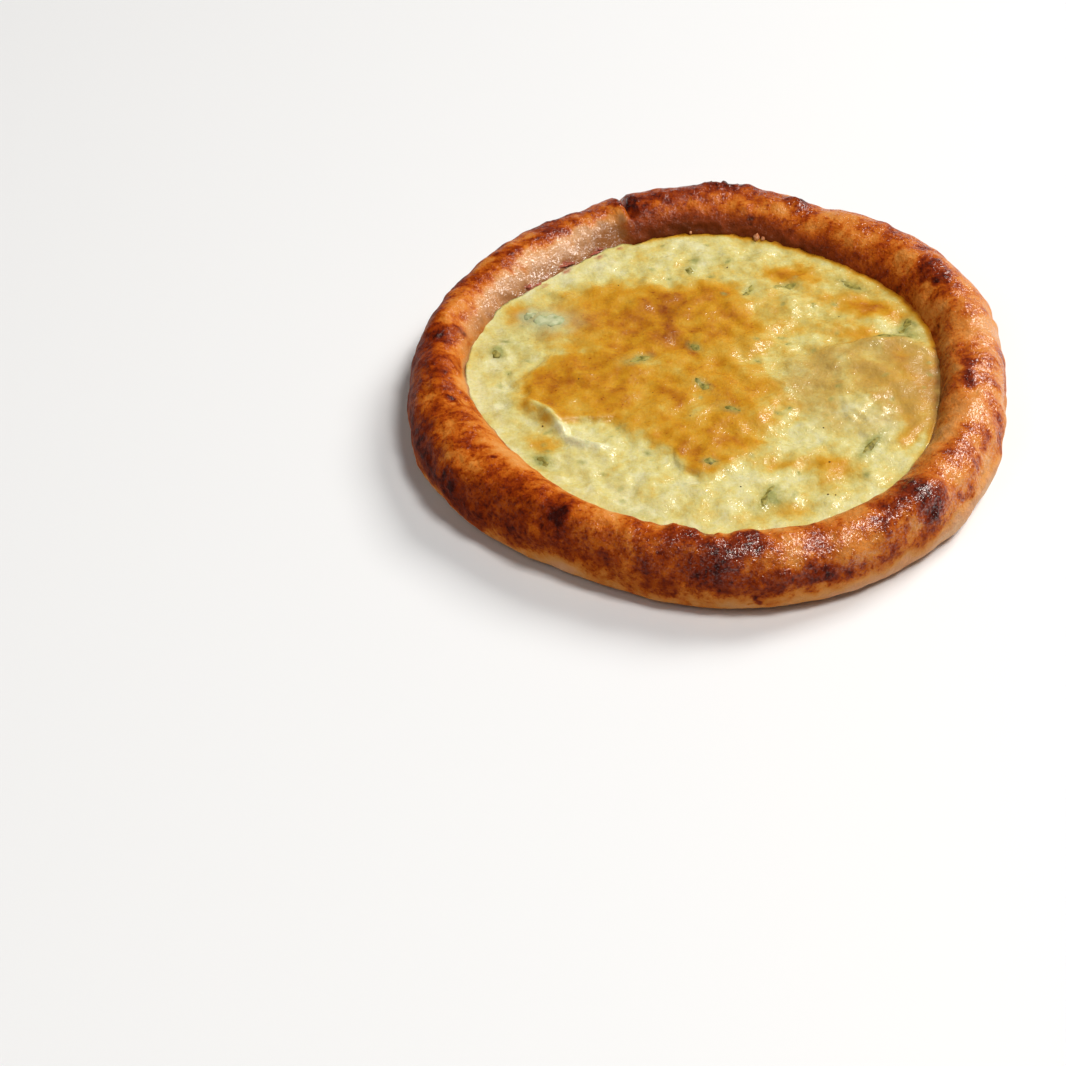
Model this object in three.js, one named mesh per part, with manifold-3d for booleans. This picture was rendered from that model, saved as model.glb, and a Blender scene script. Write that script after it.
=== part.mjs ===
// A round cheese pide: a flat bread with a rolled rim, and a baked cheese, egg and herb filling in its well.
//
// Millimetres, +Z up. The origin lies under the middle of the bread, on the surface that it rests on.
// Angles round the bread are in degrees, from +X towards +Y. A "turn" is an angle round the rim's own
// section: -90 at the foot, 0 at the widest outer side, 90 on the crest, 180 at the widest inner side.

import * as THREE from "three";
import { mergeVertices } from "three/addons/utils/BufferGeometryUtils.js";
import Module from "manifold-3d";

// ---------------------------------------------------------------- driving dimensions

const OUTER_RADIUS = 110;
const WELL_RADIUS = 83.5;
const RIM_HEIGHT = 26;
const WAIST_HEIGHT = 11; // where the rolled rim is widest
const BASE_THICKNESS = 6;
const FILLING_LEVEL = 16.5; // where the filling meets the rim
const COVE_DEPTH = 5; // how far the well's floor curves in under its wall
const GAP = 0.35; // between the crust and the filling
const FOOT_FULLNESS = 2.6; // exponent of the rim's lower outer curve; 2 is a plain ellipse

// How the hand-shaped ring departs from a circle: lobes round it, how far each swells, where one peaks.
const OUTLINE_LOBES = [
  { count: 2, swell: 1.3, peak: 90 },
  { count: 3, swell: 1.7, peak: 60 },
  { count: 4, swell: 1.3, peak: 19 },
  { count: 6, swell: 0.8, peak: 26 },
];
const WELL_LOBES = [
  { count: 1, swell: 4.2, peak: 258 },
  { count: 2, swell: 1.4, peak: -62 },
  { count: 3, swell: 2.0, peak: 49 },
  { count: 4, swell: 1.5, peak: 0 },
  { count: 5, swell: 1.4, peak: 23 },
];
const CREST_LOBES = [
  { count: 3, swell: 0.5, peak: 20 },
  { count: 5, swell: 0.4, peak: 85 },
];

// The ends of the rolled edge lap at the seam. Past it the inner wall is a straight, pale slope under a
// crest that is lower and leans out.
const SEAM = { angle: 104.5, width: 2.8, depth: 3, lip: 0.7, lipReach: 2.6 };
const SLOPE = {
  start: 105,
  full: 109,
  fade: 150,
  end: 188,
  lean: 2.5,
  drop: 1.3,
  exponent: 1.3,
  wellShift: 2.1,
};

// Blisters, dents and burnt humps on the rim: place, radius of the spot, and height (a dent's is negative).
const RIM_SPOTS = [
  { angle: 308, turn: 62, size: 7, height: 2.6 },
  { angle: 302, turn: 60, size: 5, height: 1.8 },
  { angle: 297, turn: 55, size: 4, height: 1.2 },
  { angle: 23, turn: 88, size: 7, height: 1.4 },
  { angle: 16, turn: 96, size: 5, height: 0.9 },
  { angle: 82, turn: 52, size: 9, height: 1.8 },
  { angle: 65, turn: 78, size: 5, height: 1.1 },
  { angle: 127, turn: 40, size: 9, height: 1.3 },
  { angle: 166, turn: 110, size: 4, height: 0.8 },
  { angle: 209, turn: 40, size: 8, height: 0.8 },
  { angle: 235, turn: 68, size: 5, height: 0.8 },
  { angle: 259, turn: 112, size: 5, height: 1.3 },
  { angle: 266, turn: 62, size: 8, height: 1.1 },
  { angle: 271, turn: 112, size: 4, height: 1.3 },
  { angle: 278, turn: 12, size: 7, height: 1.0 },
  { angle: 264, turn: 118, size: 3.5, height: -1.2 },
  { angle: 285, turn: 85, size: 7, height: -1.3 },
  { angle: 328, turn: 20, size: 12, height: -1.4 },
  { angle: 61, turn: 40, size: 10, height: -1.3 },
  { angle: 344, turn: 92, size: 6, height: -0.8 },
  { angle: 191, turn: 85, size: 10, height: -0.7 },
];

// The dough's own unevenness: waves round the ring and across the roll.
const DOUGH_WAVES = [
  { round: 11, across: 1, height: 0.3, phase: 40 },
  { round: 17, across: 2, height: 0.25, phase: 115 },
];

// The browned skin stands proud of the paler filling: overlapping ellipses, each with its half sizes.
const BROWNED_SKIN = [
  { x: -18, y: 24, long: 40, wide: 27, heading: -8 },
  { x: -40, y: -4, long: 29, wide: 21, heading: 20 },
  { x: -8, y: -18, long: 31, wide: 27, heading: -20 },
  { x: -3, y: -43, long: 15, wide: 14, heading: 60 },
];
const SKIN_RISE = 1.5;
const SKIN_EDGE = 0.16; // share of an ellipse over which its edge rises

// Soft mounds, hollows and the folded egg film: place, half sizes, heading of the long one, and height.
const FILLING_FORMS = [
  { x: 57, y: -17, long: 30, wide: 24, heading: -20, height: 1.5 },
  { x: 63, y: 7, long: 19, wide: 5, heading: -6, height: 1.3 },
  { x: 45, y: 1, long: 12, wide: 5, heading: 42, height: 1.1 },
  { x: 48, y: -30, long: 12, wide: 8, heading: 20, height: 0.8 },
  { x: -56, y: -27, long: 19, wide: 5, heading: -48, height: 0.9 },
  { x: 30, y: 35, long: 13, wide: 9, heading: 10, height: 1.1 },
  { x: 17, y: 9, long: 9, wide: 6, heading: 70, height: 1.0 },
  { x: 22, y: -40, long: 22, wide: 7, heading: 8, height: -1.0 },
  { x: 38, y: 14, long: 9, wide: 7, heading: 0, height: -1.1 },
  { x: -8, y: 12, long: 10, wide: 5, heading: -55, height: -0.9 },
  { x: -12, y: -68, long: 28, wide: 7, heading: -6, height: 0.7 },
  { x: -57, y: 33, long: 10, wide: 7, heading: -10, height: 0.8 },
];
const CROWN = 0.8; // how far the filling's middle stands over its edge

// Curd lumps: two crossed waves for each size of lump, with the wave's length and the lump's height.
const CURD_WAVES = [
  { length: 34, height: 0.45, skew: 0.7 },
  { length: 19, height: 0.4, skew: 2.1 },
];

// The larger herb leaves, half sunk in the filling: place, length, width and heading.
const LEAF_THICKNESS = 1.1;
const LEAF_CURL = 0.35;
const HERB_LEAVES = [
  { x: -57, y: 32, length: 11, width: 7, heading: -10 },
  { x: -25, y: 5, length: 8, width: 3.4, heading: 25 },
  { x: -2, y: 59, length: 6, width: 3.4, heading: 80 },
  { x: 18, y: 44, length: 7, width: 3.6, heading: 60 },
  { x: -3, y: 9, length: 7, width: 3, heading: -35 },
  { x: 1, y: -25, length: 7, width: 3, heading: -40 },
  { x: -4, y: -11, length: 7, width: 3, heading: -50 },
  { x: 57, y: 45, length: 13, width: 3.2, heading: -42 },
  { x: 66, y: 9, length: 12, width: 2.8, heading: -10 },
  { x: 73, y: 19, length: 8, width: 4.6, heading: 60 },
  { x: 44, y: -40, length: 12, width: 3, heading: 52 },
  { x: 13, y: -65, length: 9, width: 3, heading: 62 },
  { x: 33, y: 47, length: 8, width: 3.6, heading: 10 },
  { x: -5, y: -53, length: 6, width: 3.2, heading: 0 },
  { x: -63, y: -46, length: 6, width: 3.2, heading: -60 },
  { x: -77, y: 15, length: 6, width: 3, heading: -60 },
];

// Mesh fineness.
const RAYS = 120;
const TURN_STEP = 15;
const SURFACE_CELL = 4.2; // spacing of the points on the filling's top
const PLUG_EXCESS = 5; // how far the well's plug runs up past the filling before the surface cuts it
const SLAB_EXCESS = 12; // how far the surface slab reaches past the well all round

// ---------------------------------------------------------------- small maths

const radians = THREE.MathUtils.degToRad;
const { lerp, smoothstep, euclideanModulo } = THREE.MathUtils;
const total = (values) => values.reduce((sum, value) => sum + value, 0);

// The shorter way round between two angles, in degrees.
function angleBetween(from, to) {
  return euclideanModulo(to - from + 180, 360) - 180;
}

function lobed(mean, lobes, angle) {
  return mean + total(lobes.map((lobe) => lobe.swell * Math.cos(radians(lobe.count * (angle - lobe.peak)))));
}

// Distance from the middle of a turned ellipse, 1 on its edge.
function ellipseReach(form, x, y) {
  const heading = radians(form.heading);
  const along = (x - form.x) * Math.cos(heading) + (y - form.y) * Math.sin(heading);
  const across = (y - form.y) * Math.cos(heading) - (x - form.x) * Math.sin(heading);
  return Math.hypot(along / form.long, across / form.wide);
}

// Evenly spaced values from one end to the other, both included.
function steps(from, to, count) {
  return Array.from({ length: count + 1 }, (_, index) => lerp(from, to, index / count));
}

// ---------------------------------------------------------------- the rolled rim

// How far the inner wall is a straight slope at this angle, from 0 to 1.
function slopeShare(angle) {
  const place = euclideanModulo(angle, 360);
  return smoothstep(place, SLOPE.start, SLOPE.full) * (1 - smoothstep(place, SLOPE.fade, SLOPE.end));
}

// The rim's section at an angle: outer and inner radius, radius of its crest, its rise over the waist, and
// the power that shapes its inner wall.
function rimSection(angle) {
  const slope = slopeShare(angle);
  const outer = lobed(OUTER_RADIUS, OUTLINE_LOBES, angle);
  const inner = lobed(WELL_RADIUS, WELL_LOBES, angle) - SLOPE.wellShift * slope;
  return {
    outer,
    inner,
    crest: (outer + inner) / 2 + SLOPE.lean * slope,
    rise: lobed(RIM_HEIGHT, CREST_LOBES, angle) - SLOPE.drop * slope - WAIST_HEIGHT,
    power: 2 / lerp(2, SLOPE.exponent, slope),
  };
}

// The seam: a narrow groove over the crest, and the lapped end's lip beside it.
function seamRelief(turn, angle) {
  const past = angleBetween(SEAM.angle, angle);
  const groove = Math.max(0, 1 - Math.abs(past) / SEAM.width);
  const lip = past > 0 ? Math.exp(-(((past - SEAM.width) / SEAM.lipReach) ** 2)) : 0;
  const overCrest = smoothstep(turn, 15, 60) * (1 - smoothstep(turn, 140, 170));
  return (SEAM.lip * lip - SEAM.depth * groove) * overCrest;
}

// Height of the dough's uneven surface over the smooth roll.
function rimRelief(turn, angle) {
  const { outer, inner, crest } = rimSection(angle);
  const waves = DOUGH_WAVES.map((wave) => {
    const along = Math.sin(radians(wave.round * angle + wave.phase));
    return wave.height * along * Math.cos(radians(wave.across * turn));
  });
  const spots = RIM_SPOTS.map((spot) => {
    const round = radians(angleBetween(spot.angle, angle)) * crest;
    const across = (radians(turn - spot.turn) * (outer - inner)) / 2;
    return spot.height * Math.exp(-(round ** 2 + across ** 2) / spot.size ** 2);
  });
  return total([...waves, ...spots, seamRelief(turn, angle)]);
}

// A point of the rim's surface, as radius and height. The relief fades out where the filling lies on the
// wall and towards the waist outside.
function rimPoint(turn, angle) {
  const { outer, inner, crest, rise, power } = rimSection(angle);
  const side = Math.abs(Math.cos(radians(turn)));
  const up = Math.abs(Math.sin(radians(turn)));
  if (turn < 0) {
    const full = 2 / FOOT_FULLNESS;
    return new THREE.Vector2(crest + (outer - crest) * side ** full, WAIST_HEIGHT * (1 - up ** full));
  }
  const point =
    turn > 90
      ? new THREE.Vector2(crest + (inner - crest) * side ** power, WAIST_HEIGHT + rise * up ** power)
      : new THREE.Vector2(crest + (outer - crest) * side, WAIST_HEIGHT + rise * up);
  const shown =
    turn > 90 ? smoothstep(point.y, FILLING_LEVEL + 0.5, FILLING_LEVEL + 3.5) : smoothstep(turn, 0, 20);
  const outward = new THREE.Vector2(Math.cos(radians(turn)), Math.sin(radians(turn)));
  return point.add(outward.multiplyScalar(rimRelief(turn, angle) * shown));
}

// The well's wall at a height between its waist and the rim's crest, as a radius.
function wallRadius(height, angle) {
  const { inner, crest, rise, power } = rimSection(angle);
  const up = ((height - WAIST_HEIGHT) / rise) ** (1 / power);
  return crest + (inner - crest) * Math.sqrt(1 - up ** 2) ** power;
}

// The curve from the wall to the well's floor: share 0 at the waist, 1 on the floor.
function covePoint(share, angle) {
  const bend = radians(90 * share);
  return new THREE.Vector2(
    rimSection(angle).inner - COVE_DEPTH * (1 - Math.cos(bend)),
    lerp(WAIST_HEIGHT, BASE_THICKNESS, Math.sin(bend)),
  );
}

// ---------------------------------------------------------------- the filling's surface

// 1 on the browned skin, 0 off it, with a soft step between.
function skinShare(x, y) {
  const inside = Math.max(...BROWNED_SKIN.map((patch) => 1 - ellipseReach(patch, x, y)));
  return smoothstep(inside, -SKIN_EDGE / 2, SKIN_EDGE / 2);
}

function curdRelief(x, y) {
  const lumps = CURD_WAVES.map((wave) => {
    const pace = (2 * Math.PI) / wave.length;
    const east = Math.sin(pace * x + 1.2 * Math.sin(pace * 0.6 * y + wave.skew));
    const north = Math.sin(pace * y + 1.2 * Math.sin(pace * 0.7 * x - wave.skew));
    return wave.height * east * north;
  });
  return total(lumps);
}

// Height of the filling's top at a point. Its lumps die out just before the rim.
function fillingTop(x, y) {
  const wall = wallRadius(FILLING_LEVEL, THREE.MathUtils.radToDeg(Math.atan2(y, x)));
  const reach = Math.min(1, Math.hypot(x, y) / wall);
  const forms = FILLING_FORMS.map((form) => form.height * Math.exp(-1.5 * ellipseReach(form, x, y) ** 2));
  const relief = total(forms) + SKIN_RISE * skinShare(x, y) + curdRelief(x, y);
  return FILLING_LEVEL + CROWN * (1 - reach ** 4) + relief * (1 - smoothstep(reach, 0.9, 1));
}

// ---------------------------------------------------------------- closed meshes

// The same mesh with its shared vertices merged and its triangles without area dropped.
function closed(geometry) {
  geometry.deleteAttribute("normal");
  geometry.deleteAttribute("uv");
  const merged = mergeVertices(geometry, 1e-3);
  const corners = merged.index.array;
  const kept = [];
  for (let i = 0; i < corners.length; i += 3) {
    const [a, b, c] = corners.subarray(i, i + 3);
    if (a !== b && b !== c && c !== a) kept.push(a, b, c);
  }
  merged.setIndex(kept);
  merged.computeVertexNormals();
  return merged;
}

// A turned solid whose section varies with the angle. Each station gives its radius and height at an angle,
// and they run from the axis along the underside, up the outside and back to the axis.
function turnedSolid(stations) {
  const geometry = new THREE.LatheGeometry(stations.map((station) => station(0)), RAYS);
  const position = geometry.getAttribute("position");
  for (let ray = 0; ray <= RAYS; ray++) {
    const angle = (360 * (ray % RAYS)) / RAYS;
    const east = Math.cos(radians(angle));
    const north = Math.sin(radians(angle));
    stations.forEach((station, index) => {
      const { x: radius, y: height } = station(angle);
      position.setXYZ(ray * stations.length + index, radius * east, radius * north, height);
    });
  }
  return closed(geometry);
}

// ---------------------------------------------------------------- the crust: base and rolled rim in one

// A station on a level disc, at a share of the disc's radius.
function level(share, radiusAt, height) {
  return (angle) => new THREE.Vector2(share * radiusAt(angle), height);
}

const crestRadius = (angle) => rimSection(angle).crest;
const floorRadius = (angle) => covePoint(1, angle).x;

function crustGeometry() {
  const sole = [0, 0.35, 0.7].map((share) => level(share, crestRadius, 0));
  const roll = steps(-90, 180, 270 / TURN_STEP).map((turn) => (angle) => rimPoint(turn, angle));
  const cove = [0.4, 0.75, 1].map((share) => (angle) => covePoint(share, angle));
  const floor = [0.5, 0].map((share) => level(share, floorRadius, BASE_THICKNESS));
  return turnedSolid([...sole, ...roll, ...cove, ...floor]);
}

// ---------------------------------------------------------------- the filling's plug, surface and leaves

// What fills the well, clear of the crust by the gap, and runs up past the filling's surface.
function plugGeometry() {
  const underside = BASE_THICKNESS + GAP;
  const lid = FILLING_LEVEL + PLUG_EXCESS;
  const floor = [0, 0.5].map((share) => level(share, floorRadius, underside));
  const cove = [1, 0.6, 0.3].map((share) => (angle) => {
    const inset = new THREE.Vector2(-GAP, GAP * Math.sin(radians(90 * share)));
    return covePoint(share, angle).add(inset);
  });
  const wall = steps(WAIST_HEIGHT, lid, 4).map(
    (height) => (angle) => new THREE.Vector2(wallRadius(height, angle) - GAP, height),
  );
  return turnedSolid([...floor, ...cove, ...wall, () => new THREE.Vector2(0, lid)]);
}

// A slab wider than the well, whose top is the filling's lumpy surface.
function slabGeometry() {
  const width = 2 * (WELL_RADIUS + SLAB_EXCESS);
  const cells = Math.round(width / SURFACE_CELL);
  const geometry = new THREE.BoxGeometry(width, width, 2 * FILLING_LEVEL, cells, cells, 1);
  const position = geometry.getAttribute("position");
  for (let i = 0; i < position.count; i++) {
    if (position.getZ(i) > 0) position.setZ(i, fillingTop(position.getX(i), position.getY(i)));
  }
  return closed(geometry);
}

// A thin, curled leaf lying in the surface, pointed along its heading.
function leafGeometry(leaf) {
  const geometry = new THREE.SphereGeometry(0.5, 8, 4);
  geometry.rotateX(Math.PI / 2);
  const position = geometry.getAttribute("position");
  for (let i = 0; i < position.count; i++) {
    const along = 2 * position.getX(i);
    position.setXYZ(
      i,
      position.getX(i) * leaf.length,
      position.getY(i) * leaf.width * (1 - 0.45 * along ** 2),
      position.getZ(i) * LEAF_THICKNESS + LEAF_CURL * Math.sin(2.2 * along),
    );
  }
  geometry.rotateZ(radians(leaf.heading));
  geometry.translate(leaf.x, leaf.y, fillingTop(leaf.x, leaf.y));
  return closed(geometry);
}

// ---------------------------------------------------------------- joining with manifold-3d

const wasm = await Module();
wasm.setup();

function toManifold(geometry) {
  return new wasm.Manifold(
    new wasm.Mesh({
      numProp: 3,
      vertProperties: new Float32Array(geometry.getAttribute("position").array),
      triVerts: new Uint32Array(geometry.index.array),
    }),
  );
}

function toGeometry(solid) {
  const { vertProperties, triVerts } = solid.getMesh();
  const geometry = new THREE.BufferGeometry();
  geometry.setAttribute("position", new THREE.BufferAttribute(vertProperties, 3));
  geometry.setIndex(new THREE.BufferAttribute(triVerts, 1));
  geometry.computeVertexNormals();
  return geometry;
}

// The well's plug cut off at the lumpy surface, with the leaves joined on.
function fillingGeometry() {
  const body = toManifold(plugGeometry()).intersect(toManifold(slabGeometry()));
  const leaves = HERB_LEAVES.map((leaf) => toManifold(leafGeometry(leaf)));
  return toGeometry(leaves.reduce((solid, leaf) => solid.add(leaf), body));
}

// ---------------------------------------------------------------- the whole pide

const crust = new THREE.Mesh(
  crustGeometry(),
  new THREE.MeshStandardMaterial({ color: "#bb6c31", roughness: 0.45, metalness: 0 }),
);
crust.name = "crust";

const filling = new THREE.Mesh(
  fillingGeometry(),
  new THREE.MeshStandardMaterial({ color: "#dcb95c", roughness: 0.35, metalness: 0 }),
);
filling.name = "filling";

// The lobes shift the outline's box, so both pieces move together until the origin is under its middle.
const middle = new THREE.Box3().setFromObject(crust).getCenter(new THREE.Vector3());
for (const piece of [crust, filling]) piece.position.set(-middle.x, -middle.y, 0);

const pide = new THREE.Group();
pide.name = "round_cheese_pide";
pide.add(crust, filling);

export default pide;
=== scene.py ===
"""Looks of a round cheese pide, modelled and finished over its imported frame.

The forms are worked out in millimetres with the same named values as the CAD solids, and placed in
metres on the frame. Angles round the bread are in degrees, from +X towards +Y. A "turn" is an angle round
the rim's own section: -90 at the foot, 0 at the widest outer side, 90 on the crest, 180 at the inner waist.
"""

from __future__ import annotations

import logging
import math
import random
from dataclasses import dataclass, field, replace
from enum import Enum
from functools import partial
from typing import Callable, Sequence, TypeVar

import bmesh
import bpy
import numpy as np
from mathutils import Matrix, Vector, noise

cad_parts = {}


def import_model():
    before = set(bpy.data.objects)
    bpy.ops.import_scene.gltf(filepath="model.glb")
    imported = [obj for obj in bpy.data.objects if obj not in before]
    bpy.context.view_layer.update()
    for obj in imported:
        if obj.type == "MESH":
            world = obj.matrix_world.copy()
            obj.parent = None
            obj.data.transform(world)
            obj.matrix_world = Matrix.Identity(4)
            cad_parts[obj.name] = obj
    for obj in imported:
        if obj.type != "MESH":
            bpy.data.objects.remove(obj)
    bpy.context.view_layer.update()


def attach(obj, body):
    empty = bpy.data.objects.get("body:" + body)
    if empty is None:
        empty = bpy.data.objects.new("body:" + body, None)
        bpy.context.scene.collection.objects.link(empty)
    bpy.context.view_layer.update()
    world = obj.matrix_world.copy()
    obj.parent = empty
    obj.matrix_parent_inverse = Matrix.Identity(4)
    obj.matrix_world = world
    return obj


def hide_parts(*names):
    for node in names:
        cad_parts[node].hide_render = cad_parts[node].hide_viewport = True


LOG = logging.getLogger("cheese_pide")

Array = np.ndarray
Record = TypeVar("Record")
Station = Callable[[Array], tuple[Array, Array]]

MM = 0.001
RADIAN = 57.3  # degrees in one radian


class Node(Enum):
    """The frame's solids, by name."""

    CRUST = "crust"
    FILLING = "filling"


class Slot(Enum):
    """The record's material slots."""

    CRUST = "crust"
    FILLING = "filling"
    HERBS = "herbs"


# ---------------------------------------------------------------- small maths


def smoothstep(value: Array, low: float, high: float) -> Array:
    """Ease from 0 at `low` to 1 at `high`.

    Args:
        value: The values to ease.
        low: Where the result leaves 0.
        high: Where the result reaches 1.

    Returns:
        The eased values.
    """
    share = np.clip((value - low) / (high - low), 0.0, 1.0)
    return share * share * (3.0 - 2.0 * share)


def band(value: Array, rise: tuple[float, float], fall: tuple[float, float]) -> Array:
    """Ease from 0 up to 1 over `rise`, and back to 0 over `fall`."""
    return smoothstep(value, *rise) * (1.0 - smoothstep(value, *fall))


def bell(distance: Array, width: float) -> Array:
    """Fade from 1 at no distance to nearly 0 at twice the width, on both sides."""
    return np.exp(-((distance / width) ** 2))


def facing(angle: Array, middle: float, low: float, high: float) -> Array:
    """Ease from 0 to 1 as an angle comes round to another, between two values of their cosine."""
    return smoothstep(np.cos(np.radians(angle - middle)), low, high)


def angle_between(start: float, end: Array) -> Array:
    """Return the shorter way round from one angle to others, in degrees."""
    return np.mod(end - start + 180.0, 360.0) - 180.0


def noise_at(points: Array, size: float, seed: float = 0.0) -> Array:
    """Sample smooth noise, about -0.6 to 0.6, whose lumps are about `size` across.

    Args:
        points: Places in millimetres, one row each.
        size: Width of a lump, in millimetres.
        seed: Shift that makes one noise differ from another of the same size.

    Returns:
        One value for each place.
    """
    shifted = points / size + seed
    return np.fromiter(map(noise.noise, shifted.tolist()), float, len(points))


def ridges_at(points: Array, size: float, seed: float = 0.0) -> Array:
    """Sample sharp ridges, 1 on a crest and 0 in a hollow, about `size` apart."""
    return 1.0 - np.clip(3.0 * np.abs(noise_at(points, size, seed)), 0.0, 1.0)


def flat_places(x: Array, y: Array) -> Array:
    """Return places at height 0, one row each."""
    return np.stack([x, y, np.zeros_like(x)], axis=-1)


def around(radius: Array | float, angle: Array) -> tuple[Array, Array]:
    """Return x and y at a radius and an angle."""
    return radius * np.cos(np.radians(angle)), radius * np.sin(np.radians(angle))


def turned_rows(places: Array, angle: float) -> Array:
    """Return rows of places turned about Z."""
    cosine, sine = math.cos(math.radians(angle)), math.sin(math.radians(angle))
    return places @ np.array([[cosine, sine, 0.0], [-sine, cosine, 0.0], [0.0, 0.0, 1.0]])


# ---------------------------------------------------------------- records of the bread's form


def records(kind: Callable[..., Record], *rows: tuple[float, ...]) -> tuple[Record, ...]:
    """Make one record of a kind from each row of its values, in the order of its fields."""
    return tuple(kind(*row) for row in rows)


@dataclass(frozen=True)
class Lobe:
    """One swell of the hand-shaped ring: how many lobes, how far each swells, where one peaks."""

    count: int
    swell: float
    peak: float


@dataclass(frozen=True)
class RimSpot:
    """A blister, or a dent where the height is negative, on the rolled rim."""

    angle: float
    turn: float
    size: float
    height: float

    def bump(self, along: Array, across: Array) -> Array:
        """Return its height, faded out with the ways along the rim and round its roll."""
        return self.height * np.exp(-(along**2 + across**2) / self.size**2)


@dataclass(frozen=True)
class ScorchAndPaintedLight:
    """A browner or, with a negative depth, a paler place on the rim; some stand for painted shade and some
    for painted highlight. Half sizes are in millimetres.
    """

    angle: float
    turn: float
    along: float
    across: float
    depth: float

    fade: float = 0.9

    def tint(self, along: Array, across: Array) -> Array:
        """Return its depth, faded out over its half sizes."""
        return self.depth * np.exp(-self.fade * ((along / self.along) ** 2 + (across / self.across) ** 2))


@dataclass(frozen=True)
class Oval:
    """A turned ellipse on the filling with its half sizes, and what it adds there."""

    x: float
    y: float
    long: float
    wide: float
    heading: float
    amount: float = 1.0

    def reach(self, x: Array, y: Array) -> Array:
        """Return the distance from the middle, 1 on the ellipse's edge."""
        heading = math.radians(self.heading)
        along = (x - self.x) * math.cos(heading) + (y - self.y) * math.sin(heading)
        across = (y - self.y) * math.cos(heading) - (x - self.x) * math.sin(heading)
        return np.hypot(along / self.long, across / self.wide)

    def mound(self, x: Array, y: Array) -> Array:
        """Return the oval's amount, faded out round its middle."""
        return self.amount * np.exp(-1.5 * self.reach(x, y) ** 2)


@dataclass(frozen=True)
class Leaf:
    """A herb leaf: place, length, width, heading and how far it stands out of the cheese."""

    x: float
    y: float
    length: float
    width: float
    heading: float
    proud: float = 0.0


@dataclass(frozen=True)
class RimSection:
    """The rim's section at each of several angles."""

    outer: Array
    inner: Array
    crest: Array
    rise: Array
    power: Array

    def offset(self, spot: RimSpot | ScorchAndPaintedLight, turn: Array, angle: Array) -> tuple[Array, Array]:
        """Return the ways along the rim and round its roll from a spot's middle, in millimetres."""
        along = np.radians(angle_between(spot.angle, angle)) * self.crest
        return along, np.radians(turn - spot.turn) * (self.outer - self.inner) / 2.0


# ---------------------------------------------------------------- the rolled rim's form


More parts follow.
